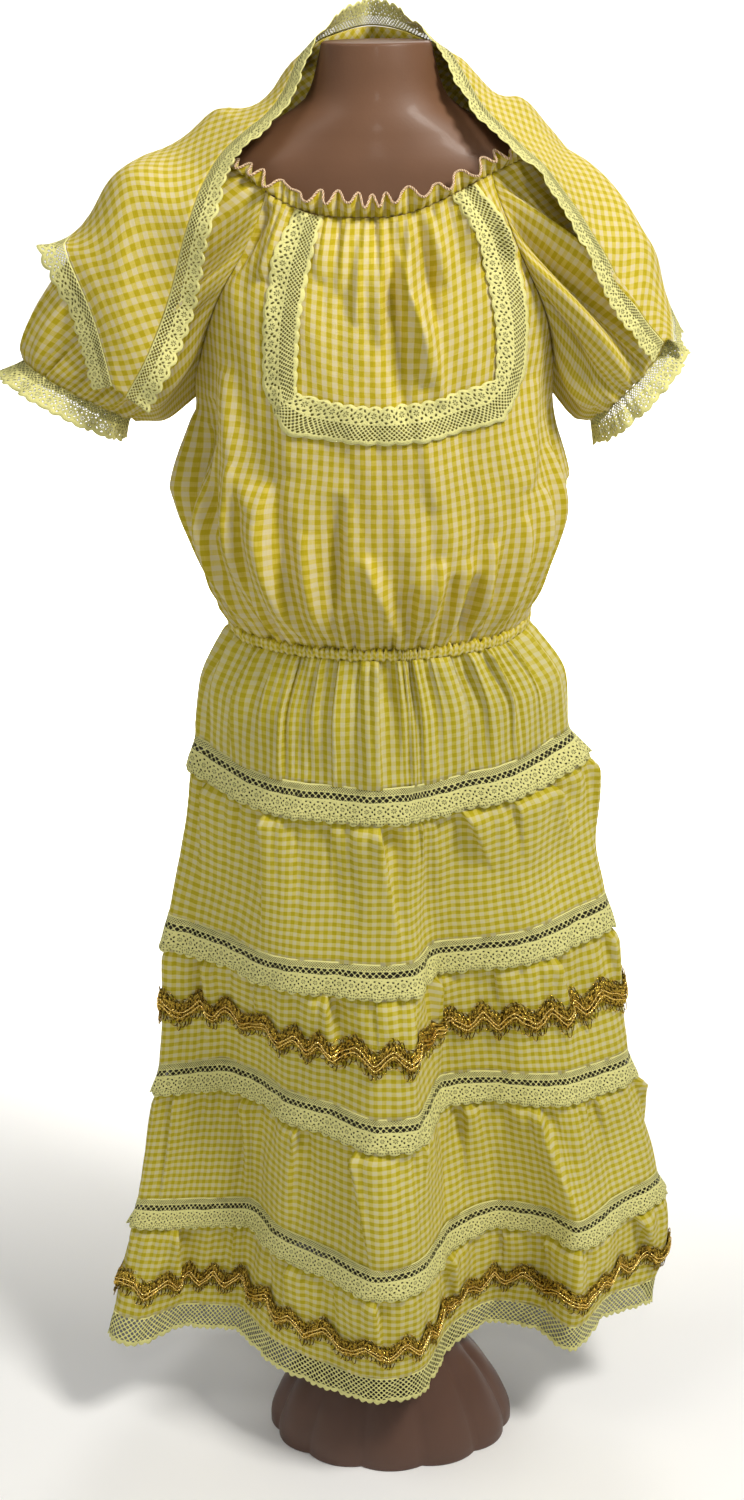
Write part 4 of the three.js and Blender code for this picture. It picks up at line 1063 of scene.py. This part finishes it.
def sleeve_grid(name, rows, columns):
    """Points of a folded sleeve, with their u and v: gathered along the neck elastic and at the cuff,
    with its listed folds, and pressed flat at both ends."""
    side = SLEEVES[name][0]
    q, w = sleeve_shares(side, columns), down_shares(rows)
    points = sleeve_surface(SLEEVES[name], q, w)
    around, down = q * SLEEVE_GIRTH, w * SLEEVE_LONG
    gathered = step(SEAM_SHARE - 0.1, SEAM_SHARE, np.minimum(q, 1 - q))
    height = gathered * gathers(around, down, 31, ((7, 20, 2.4), (17, 60, 4.0), (39, 140, 5.0)))
    height += gathers(around, SLEEVE_LONG - down, 33, ((9, 22, 4.4), (21, 60, 6.5), (46, 120, 5.0)))
    height += 2.2 * creases(100 * q, 100 * w, SLEEVE_FOLDS[name])
    height += 0.6 * waves(around, 35, (41, 67, 110), drift=60 * w)
    height *= step(0.0, 0.05, w) * (1 - 0.55 * step(0.95, 1, w))
    points = points + ways_out(points, True) * height[..., None]
    return points, with_closing(around, side * SLEEVE_GIRTH), down


class DRESS_OT_sleeves(bpy.types.Operator):
    """Sews both puff sleeves, gathered at the neck and at the cuff"""

    bl_idname = "dress.sleeves"
    bl_label = "Puff sleeves"

    def execute(self, context):
        """Each sleeve is a tube from its raglan seam and the neck elastic to the cuff."""
        cotton = gingham("yarn-dyed gingham of the sleeves", 0.66)
        for name in SLEEVES:
            piece = cloth(f"sleeve_{name}_cloth", *sleeve_grid(name, 60, 152), closed=True)
            finish_piece(piece, cotton, "gingham", f"sleeve_{name}")
        return {"FINISHED"}


class DRESS_OT_cuff_laces(bpy.types.Operator):
    """Sews the frill of lace to each cuff"""

    bl_idname = "dress.cuff_laces"
    bl_label = "Cuff lace"

    def execute(self, context):
        """The frill goes on along the sleeve from the cuff's edge and flares away from its middle; it
        ripples in and out, more and more towards its scalloped edge."""
        net = lace("cotton cuff lace", 0.7, [
            (1.5, 10, "net", 3.8, 0.6), (11, 24, "flowers", CUFF_SCALLOP, 0.42)])
        for name, sleeve in SLEEVES.items():
            q, t = sleeve_shares(sleeve[0], 330), down_shares(9)
            before, edge = sleeve_surface(sleeve, q, np.array([[0.8], [1.0]]))
            centre = edge.mean(0)
            along, away = unit(centre - before.mean(0)), unit(edge - centre)
            around = q * CUFF_GIRTH
            by = SEAM + t * (CUFF_LACE - 2.6 + 2.4 * scallops(around, CUFF_SCALLOP))
            ruffle = 3.0 * t**1.2 * waves(around, 44, (19, 31, 47))
            ruffle = ruffle + 1.5 * (1 - t) * waves(around, 45, (9, 13))
            points = edge + along * 0.9 * by[..., None] + away * (0.42 * by + ruffle)[..., None]
            u = with_closing(around, sleeve[0] * CUFF_GIRTH)
            piece = cloth(f"cuff_lace_{name}_frill", points, u, t * CUFF_LACE, closed=True, thick=0.7)
            finish_piece(piece, net, "lace", f"cuff_lace_{name}")
        return {"FINISHED"}


def over_shoulders(angle, share):
    """1 in front and behind, less by the share over the shoulders, where the kerchief presses."""
    return 1 - share * np.sin(angle) ** 6


class DRESS_OT_neck_heading(bpy.types.Operator):
    """Gathers the heading above the neck elastic, with its overlocked edge"""

    bl_idname = "dress.neck_heading"
    bl_label = "Neck heading"

    def execute(self, context):
        """The heading rises from the elastic and zigzags in and out more and more towards its free edge,
        whose height wanders. The kerchief presses it flat over the shoulders. Its rows run down from the
        free edge, and the overlocked edge is a thin tube along it."""
        cotton = gingham("yarn-dyed gingham of the heading", 0.66)
        thread = overlock_thread("overlock thread")
        angle = round_shares(760) * TURN
        around = np.degrees(angle) * HEADING_GATHERED
        slip = 2.4 * np.sin(angle * 5) + 1.6 * np.sin(angle * 8 + 1) + 0.8 * np.sin(angle * 17)
        zigzag = np.sin(47 * angle + slip)
        fine = np.sin(133 * angle + 1.3 * np.sin(angle * 7 + 2))
        sharp = np.sign(zigzag) * np.abs(zigzag) ** 0.75 * (1 + 0.35 * waves(around, 91, (37, 61, 23)))
        t = 1 - down_shares(10)
        rise = HEADING * (1.0 + 0.2 * np.sin(angle * 9 + 0.6) * np.sin(angle * 4)) - 4.2 * sharp
        up = lerp(SEAM, rise * over_shoulders(angle, 0.45), t) * over_shoulders(angle, 0.94)
        reach = 2.6 * t + 7.6 * t**0.9 * sharp + 1.6 * (1 - t * 0.6) * fine
        reach = 1.5 + reach * over_shoulders(angle, 0.9)
        points = bodice_surface(NECK_ELASTIC, angle)
        points = points + bodice_way(NECK_ELASTIC, angle) * reach[..., None]
        points[..., 2] += up
        u = with_closing(around, 360 * HEADING_GATHERED) * 1.7
        piece = cloth("neck_heading_ruffle", points, u, HEADING * t, closed=True)
        finish_piece(piece, cotton, "gingham", "neck_heading")
        edge = strands("neck_overlock", tube(points[0], 1.15, 6)[None], True, 1.6, 1.0)
        finish_piece(edge, thread, "gingham")
        return {"FINISHED"}


# ------------------------------------------------------------------ the skirt
# How much taller the pleats are than their depths in the table, how deep the hollow before each is,
# and how far its cloth slips under it, in mm.
PLEAT_TALL, PLEAT_HOLLOW, PLEAT_SLIP = 2.6, 1.25, 5.0
# Gathers of the yoke and of the tiers under their laces: pitch, fade and height of each row.
YOKE_GATHERS = ((8.5, 16, 3.4), (18, 90, 4.0), (33, 200, 3.6), (62, 200, 3.2))
TIER_GATHERS = ((11, 20, 2.0), (27, 70, 3.6), (64, 130, 5.0))
# Rows and count of columns of each tier's grid.
TIER_GRIDS = ((24, 520), (30, 440), (22, 460), (24, 500), (20, 540))


def pleat_rows(name):
    """Pleats of one tier by their share round the skirt: share, lean for each mm down, width, depth and
    hold."""
    rows = []
    for back in (False, True):
        for across, lean, wide, deep, hold in PLEATS[name]["back" if back else "front"]:
            rows.append((share_of(across, back) % 1, lean / 100, wide, deep, hold))
    return np.array(sorted(rows))


def pleat_columns(pleats, count, girth):
    """Shares of a tier's columns: even between pleats, with two close together at each pleat's edge."""
    at, near = pleats[:, 0], 0.35 / girth
    spans = zip(at, np.append(at[1:], at[0] + 1))
    return np.concatenate([np.linspace(start + near, end - near, max(3, round((end - start) * count)))
                           for start, end in spans])


def pleat_height(share, down, pleats, girth):
    """Height of the knife pleats, and how far their cloth has slipped, in mm.

    Each rises evenly from its far side to its edge and drops there; going down it dies away, its drop
    grows softer and the cloth hidden under it comes out.
    """
    height, slip = np.zeros(share.shape), np.zeros(share.shape)
    for at, lean, wide, deep, hold in pleats:
        facing, gone = np.sign(wide), down / hold
        place = (((share - at + 0.5) % 1 - 0.5) * girth - lean * down) * facing
        alive = np.clip(1 - gone, 0, 1) ** 1.1
        soft = 0.3 + 12 * gone**1.6
        ramp = np.clip(1 - place / (abs(wide) * (1 + 1.3 * gone)), 0, 1) ** 1.4
        height += PLEAT_TALL * deep * alive * ramp * step(-0.5, 0.5, place / soft)
        hollow = np.exp(-(((place + 5 + 0.12 * down) / (9 + 0.16 * down)) ** 2)) * (place < 0)
        height -= PLEAT_HOLLOW * deep * alive * hollow
        slip += PLEAT_SLIP * alive * facing * step(-0.2, 0.2, place) * np.clip(1 - place / 70, 0, 1)
    return height, slip


def tier_cloth(name, share, high):
    """Points of a tier's cloth at shares and heights, and their u and v on its cut.

    They are on the hanging surface, moved out by pleats, gathers and ripples. At its top the tier is
    pressed flat under its lace, or the yoke under the casing, and at its low edge by the lace sewn to it.
    """
    yoke = name == "skirt_yoke"
    share, high = np.broadcast_arrays(share, high)
    top, low = TIERS[name]
    seed, girth = 50 + top, girth_at(low)
    down, around = top + COVER * (not yoke) - high, share * girth
    height, slip = pleat_height(share, down, pleat_rows(name), girth)
    height += gathers(around, down, seed, YOKE_GATHERS if yoke else TIER_GATHERS)
    if yoke:
        height *= 0.45 + 0.55 * step(0, 8, down)
    else:
        height = height * (0.15 + 0.85 * step(7, 20, down)) - 1.6 * (1 - step(0, 9, down))
    height += 0.9 * waves(around, seed + 2, (33, 53, 88), drift=0.25 * down)
    height *= 0.35 + 0.65 * step(0, 16, high - low)
    points = skirt_surface(share, high) + skirt_way(share, high) * height[..., None]
    return points, (around + slip) * (YOKE_FULL if yoke else 1), down


def tier_grid(name, rows, count):
    """The grid of a tier: its columns lean with its pleats, two close together at the edge of each."""
    yoke = name == "skirt_yoke"
    top, low = TIERS[name]
    top, girth, pleats = top + COVER * (not yoke), girth_at(low), pleat_rows(name)
    shares = pleat_columns(pleats, count, girth)[None]
    high = lerp(top - SEAM / 2, low + SEAM / 2, down_shares(rows) ** 1.12)
    down = top - high
    lean = np.interp(shares % 1, pleats[:, 0], pleats[:, 1], period=1)
    points, u, v = tier_cloth(name, shares + lean * np.minimum(down, 60 + 0.3 * down) / girth, high)
    return points, with_closing(u, girth * (YOKE_FULL if yoke else 1)), v[:, :1]


class DRESS_OT_skirt_tiers(bpy.types.Operator):
    """Sews the yoke and the four tiers of the skirt, each pleated under the lace above it"""

    bl_idname = "dress.skirt_tiers"
    bl_label = "Skirt tiers"

    def execute(self, context):
        """Each tier follows the hanging surface between its heights, with its own pleats."""
        # The yoke and the tiers are painted with a greener tint of light.
        upright = gingham("yarn-dyed gingham of the yoke", 0.7, SKIRT_LIGHT_TINT)
        crosswise = gingham("yarn-dyed gingham, cut crosswise", 0.36, SKIRT_LIGHT_TINT)
        for (name, (top, low)), (rows, count) in zip(TIERS.items(), TIER_GRIDS):
            piece = cloth(name + "_cloth", *tier_grid(name, rows, count), closed=True)
            finish_piece(piece, upright if name == "skirt_yoke" else crosswise, "gingham", name)
            1.12 * girth_at(low) * MM
        return {"FINISHED"}


def lace_ring(top, wide, flat, rows, columns, pitch, deep, seed, proud):
    """Points of a band of lace round the skirt, with their u and v: down from its top by its width, less
    between its scallops of a pitch and a depth, and standing proud towards its free edge. flat is its
    length."""
    share, t = round_shares(columns), down_shares(rows)
    around = share * flat
    scallop = scallops(share * round(flat / pitch), 1)
    down = t * (wide - deep + deep * scallop)
    out = ways_out(skirt_surface(share, top - t * wide), True)
    height = 0.4 + proud * t**1.5 + (0.5 + 1.3 * t) * waves(around, seed, (23, 37, 61), drift=0.5 * down)
    height = height + 0.8 * scallop * t**3
    points = skirt_surface(share, top - down) + out * height[..., None]
    return points, with_closing(around, flat), with_closing(down)


class DRESS_OT_skirt_laces(bpy.types.Operator):
    """Sews the four bands of beading lace and the lace of the hem"""

    bl_idname = "dress.skirt_laces"
    bl_label = "Skirt lace"

    def execute(self, context):
        """Each band is a strip of the hanging surface with a scalloped lower edge."""
        # Three quarters of each hole of the beading, and half of each hole of the hem lace, are painted
        # shade in the hole colour.
        beading = lace("cotton beading lace", 0.25, [
            (1.5, 7.5, "net", 2.8, 0.4), (8.5, 15.5, "net", 6.6, 0.82), (18, 31.5, "flowers", SCALLOP, 0.4),
            (31, 38, "fans", 2.8, 0.3)])
        for name, top in LACES:
            flat = girth_at(top - LACE)
            band = lace_ring(top + 2, LACE + 5, flat, rows=9, columns=700, pitch=SCALLOP, deep=4.0,
                             seed=top, proud=4.6)
            piece = cloth(name + "_strip", *band, closed=True, thick=0.8)
            finish_piece(piece, beading, "lace", name)
        net = lace("cotton hem lace", 0.5, [(1.5, 30, "net", 6.6, 0.62)])
        flat = girth_at(LEVELS[-1] + 11)
        band = lace_ring(LEVELS[-1] + HEM_LACE + 2, HEM_LACE + 3, flat, rows=8, columns=1050,
                         pitch=HEM_SCALLOP, deep=3.4, seed=7, proud=0.5)
        piece = cloth("hem_lace_strip", *band, closed=True, thick=0.7)
        finish_piece(piece, net, "lace", "hem_lace")
        return {"FINISHED"}


class DRESS_OT_waist_casing(bpy.types.Operator):
    """Gathers the casing over the waist elastic"""

    bl_idname = "dress.waist_casing"
    bl_label = "Waist casing"

    def execute(self, context):
        """A band round the waist that bulges over the elastic near its top, full of small upright puckers
        that make its top edge ragged, and runs out level with the yoke below."""
        # The casing's gingham is painted brighter, for the light on its ridge of gathers.
        cotton = gingham("yarn-dyed gingham of the casing", 0.62, CASING_PAINTED_LIGHT)
        share, t = round_shares(760), down_shares(8)
        around = share * WAIST_GIRTH
        small, large = puckers(around, 61, 4.6, 0.6), puckers(around, 62, 11.5, 0.6)
        bulge = np.maximum(np.sin(np.pi * t**0.62), 0) ** 0.6
        reach = 0.4 + 0.5 * t + bulge * (0.3 + 1.7 * small + 1.4 * large)
        base = skirt_surface(share, float(WAIST_LOW))
        points = base + unit(base * (1, 1, 0)) * reach[..., None]
        ragged = (1 - t) * (5.0 * small - 2.5) + 1.2 * waves(around, 63, (7, 15))
        points[..., 2] = lerp(WAIST_TOP - 6, WAIST_LOW - 1, t) + ragged
        u = with_closing(around, WAIST_GIRTH) * 1.6
        piece = cloth("waist_casing_cloth", points, u, 22 * t, closed=True)
        finish_piece(piece, cotton, "gingham", "waist_casing")
        return {"FINISHED"}


# ------------------------------------------------------------------ braids
BRAID_COLUMNS = 1300


def braid_line(share, middle, pitch, swing):
    """Height of a braid's middle at a share round the skirt: a wave of uneven pitch with pointed turns."""
    bent = TURN * round(girth_at(middle) / pitch) * share
    bent = bent + 0.9 * np.sin(TURN * share * 5 + middle) + 0.7 * np.sin(TURN * share * 11 + 2)
    return middle + swing * np.arcsin(0.93 * np.sin(bent)) / 1.2


def braid_surface(tier, share, high, lift):
    """Point over a tier's cloth at a share and a height, lifted out by lift."""
    point = tier_cloth(tier, share, high)[0]
    return point + skirt_way(share, high) * np.broadcast_to(lift, point.shape[:-1])[..., None]


def braid_band(tier, wave, half):
    """Points of the crimped band, with their u and v: from its upper edge down, ragged along both edges
    and domed between them."""
    middle, girth = wave[0], girth_at(wave[0])
    share, t = round_shares(BRAID_COLUMNS), 1 - 2 * down_shares(7)
    around = share * girth
    ragged = 0.68 + 0.32 * np.abs(np.sin(np.pi * share * round(girth / 3.1)))
    off = t * half * np.where(np.abs(t) > 0.9, ragged, 1)
    crimps = 0.55 * waves(around + 3 * off, middle + 1, (3.1, 4.3))
    crimps = crimps + 0.5 * waves(around - 2 * off, middle + 2, (5.2, 3.7))
    points = braid_surface(tier, share, braid_line(share, *wave) + off, 2.6 + 1.8 * (1 - t**2) + crimps)
    return points, with_closing(around, girth), with_closing(off)


def braid_cords(tier, wave, half):
    """Rings of the two bright cords, which wander a little along the middle of the band."""
    share, girth = round_shares(BRAID_COLUMNS), girth_at(wave[0])
    rings = []
    for k, side in enumerate((-0.30, 0.12)):
        off = side * half + 0.9 * np.sin(TURN * share * girth / 23 + k)
        path = braid_surface(tier, share, braid_line(share, *wave) + off, 5.3)
        rings.append(tube(path[0], 0.8, 5))
    return np.stack(rings)


def braid_loops(tier, wave, half):
    """Rings of the loops along both edges: each goes out from the edge and back through half a turn, and
    their places, reaches, widths and leans are uneven. Each is four threads square."""
    girth, random = girth_at(wave[0]), np.random.default_rng(wave[0])
    turn = np.linspace(0, np.pi, 7)[None]
    rings = []
    for edge, pitch, reach in ((-1, 4.6, 7.4), (1, 4.8, 4.4)):
        number = int(girth / pitch)
        each = (number, 1)
        start = (np.arange(number)[:, None] + random.uniform(-0.25, 0.25, each)) / number
        far = reach * random.uniform(0.55, 1.25, each)
        wide = pitch * random.uniform(0.8, 1.5, each)
        leaning = random.uniform(-1.6, 1.6, each)
        share = start + (np.sin(turn) * leaning - np.cos(turn) * wide / 2) / girth
        high = braid_line(share, *wave) + edge * (half - 0.8 + np.sin(turn) * far)
        lift = 3.0 + random.uniform(-0.6, 1.2, each) * np.sin(turn)
        path, out = braid_surface(tier, share, high, lift), skirt_way(share, high)
        side = unit(np.cross(np.gradient(path, axis=1), out))
        rings.append(np.stack([path + 0.62 * way for way in (side, 0.8 * out, -side, -0.8 * out)], 2))
    return np.concatenate(rings)


class DRESS_OT_braids(bpy.types.Operator):
    """Lays the two wavy gold braids, with their cords and edge loops"""

    bl_idname = "dress.braids"
    bl_label = "Gold braids"

    def execute(self, context):
        """Each braid is a crimped band along its wave, with two bright cords along its middle and a row
        of small loops along each edge."""
        band_finish, cord_finish = gimp("metallised gimp"), bright_thread("bright metallised cord")
        for name, tier, middle, pitch, swing, half in BRAIDS:
            course = tier, (middle, pitch, swing), half
            band = cloth(name + "_band", *braid_band(*course), closed=True, thick=1.2)
            finish_piece(band, band_finish, "gold_braid", name)
            apart = girth_at(middle) / BRAID_COLUMNS
            cords = strands(name + "_cords", braid_cords(*course), True, apart, 1.0)
            finish_piece(cords, cord_finish, "gold_braid")
            loops = strands(name + "_loops", braid_loops(*course), False, 1.6, 0.8)
            finish_piece(loops, band_finish, "gold_braid")
        return {"FINISHED"}


# ------------------------------------------------------------------ the kerchief
# Folds of the kerchief by the distance along its long edge and the percent of the way to its short
# edges. The first is the hollow over the left shoulder.
KERCHIEF_FOLDS = [
    (-100, 30, -195, 30, 38, -32, 0),
    (-60, 2, -110, 60, 16, 5, 4), (-120, 0, -190, 55, 14, -5, 4), (-165, 2, -250, 70, 16, 6, 6),
    (-215, 0, -300, 75, 14, -5, 6), (-265, 2, -350, 80, 15, 6, 5), (-320, 0, -390, 80, 12, -4, 3),
    (55, 2, 100, 60, 16, 5, -4), (110, 0, 175, 55, 14, -5, -4), (160, 2, 240, 70, 16, 6, -6),
    (215, 0, 290, 75, 14, -5, -6), (265, 2, 340, 80, 15, 5, -5), (320, 0, 380, 80, 12, -4, -3),
    (-30, 10, -40, 90, 20, 5, 0), (25, 12, 30, 92, 20, 5, 0), (0, 8, -4, 95, 16, -5, 0),
    (-80, 20, -100, 95, 18, -4, 0), (80, 20, 105, 95, 18, -4, 0),
]


def kerchief_surface(along, share):
    """Point of the kerchief: along its long edge, and the share of the way to its short edges.

    Each section is a smooth curve through its four points by its own length, and smooth curves join the
    sections along the cloth.
    """
    along, share = np.broadcast_arrays(along, share)
    sections = sorted(KERCHIEF)
    crossing = []
    for _, *corners in sections:
        corners = np.array(corners, float)
        run = np.concatenate([[0], np.cumsum(length(np.diff(corners, axis=0))[:, 0])])
        crossing.append([smooth(run / run[-1], corners[:, k], share).ravel() for k in range(3)])
    at, crossing = [row[0] for row in sections], np.array(crossing)
    axes = [smooth(at, crossing[:, k], along.reshape(1, -1)).reshape(share.shape) for k in range(3)]
    return np.stack(axes, -1)


def kerchief_height(along, share):
    """Height of the kerchief's folds and ripples, which die away at its two tips."""
    height = 0.3 * creases(along, 100 * share, KERCHIEF_FOLDS)
    height += 0.7 * waves(along, 71, (53, 81, 123), drift=60 * share)
    return height * step(0, 60, KERCHIEF_HALF - np.abs(along))


def kerchief_edge(along, share, by, lift):
    """Points past an edge of the kerchief: by mm away from it across the cloth, and lifted off it."""
    point = kerchief_surface(along, share)
    away = point - kerchief_surface(along, np.where(share > 0.5, share - 0.04, share + 0.04))
    tangent = unit(kerchief_surface(along - 3, share) - kerchief_surface(along + 3, share))
    way = unit(np.where(share > 0.5, 1, -1)[..., None] * np.cross(away, tangent))
    away = unit(away - tangent * (away * tangent).sum(-1, keepdims=True))
    return point + way * (kerchief_height(along, share) + lift)[..., None] + away * by[..., None]


class DRESS_OT_kerchief(bpy.types.Operator):
    """Drapes the three-cornered kerchief over the shoulders and edges it with lace"""

    bl_idname = "dress.kerchief"
    bl_label = "Kerchief"

    def execute(self, context):
        """The cloth is a grid along and across its table of sections, with soft folds; the lace goes on
        past each edge, scalloped and a little wavy."""
        cotton = gingham("yarn-dyed gingham of the kerchief", 0.58)
        net = lace("cotton kerchief lace", 0.8, [
            (1.5, 10, "net", 3.8, 0.6), (10.5, 23.5, "flowers", KERCHIEF_SCALLOP, 0.42)])
        along = np.linspace(KERCHIEF_HALF, -KERCHIEF_HALF, 240)[None]
        along, share = np.broadcast_arrays(along, down_shares(50))
        points = kerchief_surface(along, share)
        points = points + ways_out(points, False) * kerchief_height(along, share)[..., None]
        # The checks follow the two short edges, so the cut's axes lie slantwise to the long edge.
        across = share * (KERCHIEF_DEEP - np.abs(along))
        u, v = (along + across) / np.sqrt(2), (across - along) / np.sqrt(2)
        piece = cloth("kerchief_cloth", points, u, v)
        finish_piece(piece, cotton, "gingham", "kerchief")

        # Each lace: piece, node, the places on the long edge where it starts and ends, the share of the
        # way across that its edge lies at, how much longer its edge is than the long edge, and its rows,
        # which run outwards from the short edges and inwards to the long one.
        half, rows = KERCHIEF_HALF, down_shares(9)
        for name, node, start, end, at, longer, t in (
            ("kerchief_lace_neck_edge", "kerchief_lace_neck", half, -half, 0.0, 1, 1 - rows),
            ("kerchief_lace_right_edge", "kerchief_lace_right", half, 0, 1.0, np.sqrt(2), rows),
            ("kerchief_lace_left_edge", "kerchief_lace_left", 0, -half, 1.0, np.sqrt(2), rows),
        ):
            flat = abs(start - end) * longer
            place = np.linspace(start, end, int(flat / 2.0))[None]
            run = np.abs(place - start) * longer
            by = 0.6 + t * (KERCHIEF_LACE - 4.6 + 4.6 * scallops(run, KERCHIEF_SCALLOP))
            lift = 1.44 * t * waves(run, 81, (29, 43))
            strip = kerchief_edge(*np.broadcast_arrays(place, at, by, lift))
            piece = cloth(name, strip, run, t * KERCHIEF_LACE, thick=0.7)
            finish_piece(piece, net, "lace", node)
        return {"FINISHED"}


# ------------------------------------------------------------------ the stage
class DRESS_OT_stage(bpy.types.Operator):
    """Sets the pale floor and backdrop, the soft lights and the camera"""

    bl_idname = "dress.stage"
    bl_label = "Stage"

    def execute(self, context):
        """The backdrop is one sheet: flat, then a quarter circle up, then upright."""
        half, bend = 9000.0, 1500.0
        turn = np.linspace(0.05, 1, 24) * np.pi / 2
        flat, wall = np.linspace(-half, half, 20), np.linspace(bend + 200, 3500, 10)
        run = np.concatenate([flat, half + bend * np.sin(turn), np.full_like(wall, half + bend)])
        rise = np.concatenate([np.zeros_like(flat), bend * (1 - np.cos(turn)), wall])
        x = np.linspace(-half, half, 12)
        grid = np.stack(np.broadcast_arrays(x[None], run[:, None], rise[:, None]), -1)
        faces = grid_faces(*grid.shape[:2], False)[:, ::-1]
        floor = link_mesh("studio_floor", grid.reshape(-1, 3), faces)
        material, tree = new_material("matt white paper")
        place = add(tree, "TexCoord").node.outputs["Object"]
        grain = add(tree, "TexNoise", (place, None, 3.0))
        tone = add(tree, "Mix", {0: grain, 6: linear("f6f6f5"), 7: linear("fbfbfa")}, data_type="RGBA")
        cover(material, {"Base Color": tone, "Roughness": 0.9, "Specular IOR Level": 0.1})
        floor.data.materials.append(material)

        world = bpy.data.worlds.new("soft white room")
        world.use_nodes = True
        sky = world.node_tree.nodes["Background"].inputs
        sky["Color"].default_value, sky["Strength"].default_value = (0.95, 0.97, 1.0, 1.0), 0.25
        context.scene.world = world
        # Each light: name, place, the point that it faces, the side of its square in metres, and its watts.
        for name, place, aim, size, power in (
            ("key", (1.5, -1.3, 3.4), (0, 0, 1.0), 0.7, 93),
            ("front", (0.0, -2.3, 2.35), (0, 0, 1.3), 0.2, 5),
            ("paper", (0, 2.6, 3.6), (0, 7.5, 0.3), 2.5, 800),
            ("over", (-1.3, -0.8, 3.3), (-0.1, 0, 1.2), 1.0, 14),
            ("fill", (-2.4, -2.6, 1.6), (0, 0, 0.8), 2.0, 6),
            ("back", (0.6, 2.4, 2.6), (0, 0, 1.0), 1.4, 22),
        ):
            lamp = bpy.data.lights.new(name, "AREA")
            lamp.energy, lamp.size = power, size
            lamp.color = (1.0, 0.97, 0.92)
            light = bpy.data.objects.new(name, lamp)
            context.scene.collection.objects.link(light)
            light.location = place
            x, y, z = np.subtract(aim, place)
            tilt, heading = np.arctan2(z, np.hypot(x, y)), np.arctan2(y, x)
            light.rotation_euler = (tilt + np.pi / 2, 0, heading - np.pi / 2)

        camera = bpy.data.cameras.new("camera")
        camera.sensor_width, camera.lens = 36, 48
        eye = bpy.data.objects.new("camera", camera)
        context.scene.collection.objects.link(eye)
        eye.location = (-0.012, -1.889, 1.632)
        tilt, roll = np.radians(67.9), np.radians(-0.75)
        eye.rotation_mode = "QUATERNION"
        eye.rotation_quaternion = Euler((tilt, 0, 0)).to_quaternion() @ Quaternion((0, 0, 1), roll)
        context.scene.camera = eye
        context.scene.view_settings.view_transform = "Standard"
        return {"FINISHED"}


# ------------------------------------------------------------------ the add-on
def colour_property(name, description, value):
    """A colour that the user may change, given as an sRGB hex value."""
    return bpy.props.FloatVectorProperty(name=name, description=description, subtype="COLOR", size=4,
                                         min=0, max=1, default=linear(value))


class DressSizes(bpy.types.PropertyGroup):
    """Sizes of the dress that a user may change"""

    cloth: bpy.props.FloatProperty(name="Cloth", description="Thickness of the gingham", default=0.0008,
                                   min=0.0002, max=0.002, unit="LENGTH", subtype="DISTANCE")
    check: bpy.props.FloatProperty(name="Check", description="Pitch of the gingham's checks", default=0.0095,
                                   min=0.003, max=0.03, unit="LENGTH", subtype="DISTANCE")


class DressColours(bpy.types.PropertyGroup):
    """Colours of the dress that a user may change"""

    yellow: colour_property("Yellow", "Squares where both sets of threads are dyed", "b8a408")
    middle: colour_property("Middle", "Squares where one set is dyed", "d0bd52")
    undyed: colour_property("Undyed", "Squares of undyed thread", "d5c898")
    lace: colour_property("Lace", "Lace thread", "dcd78c")
    lace_shadow: colour_property("Lace shadow", "Between the lace's threads", "99934c")
    # Painted shade: the colour painted into the lace's holes, for the shade behind them.
    painted_hole_shade: colour_property("Lace hole", "Stray threads in the shade of the lace's holes", "2a2611")
    gold: colour_property("Gold", "Crimped metallised thread", "f0cc58")
    gold_shadow: colour_property("Gold shadow", "Hollows of the braid", "3c2b07")
    bright_gold: colour_property("Bright gold", "Smooth metallised cord", "ffdf80")
    thread: colour_property("Overlock", "Overlock thread", "f0d9b8")
    thread_shadow: colour_property("Overlock shadow", "Between its turns", "b98c62")
    form: colour_property("Form", "Plastic of the torso", "6b4a33")
    stand: colour_property("Stand", "Plastic of the stand", "5a4033")


OPERATORS = (DRESS_OT_form, DRESS_OT_bodice, DRESS_OT_chest_lace, DRESS_OT_sleeves, DRESS_OT_cuff_laces,
             DRESS_OT_neck_heading, DRESS_OT_waist_casing, DRESS_OT_skirt_tiers, DRESS_OT_skirt_laces,
             DRESS_OT_braids, DRESS_OT_kerchief, DRESS_OT_stage)


class DRESS_PT_panel(bpy.types.Panel):
    """Sizes, colours and the pieces of the dress"""

    bl_idname = "DRESS_PT_panel"
    bl_label = "Dress"
    bl_space_type = "VIEW_3D"
    bl_region_type = "UI"
    bl_category = "Dress"

    def draw(self, context):
        """Lists the properties, then a button for each operator."""
        for group in (context.scene.dress_sizes, context.scene.dress_colours):
            for name in type(group).__annotations__:
                self.layout.prop(group, name)
        for operator in OPERATORS:
            self.layout.operator(operator.bl_idname)


CLASSES = (DressSizes, DressColours, *OPERATORS, DRESS_PT_panel)


def register():
    """Registers the add-on's classes and its properties on the scene."""
    for one in CLASSES:
        bpy.utils.register_class(one)
    bpy.types.Scene.dress_sizes = bpy.props.PointerProperty(type=DressSizes)
    bpy.types.Scene.dress_colours = bpy.props.PointerProperty(type=DressColours)


def unregister():
    """Takes them away again."""
    del bpy.types.Scene.dress_colours
    del bpy.types.Scene.dress_sizes
    for one in reversed(CLASSES):
        bpy.utils.unregister_class(one)


def main():
    """Builds every piece in order."""
    register()
    for operator in OPERATORS:
        group, name = operator.bl_idname.split(".")
        getattr(getattr(bpy.ops, group), name)()


if __name__ == "__main__":
    main()
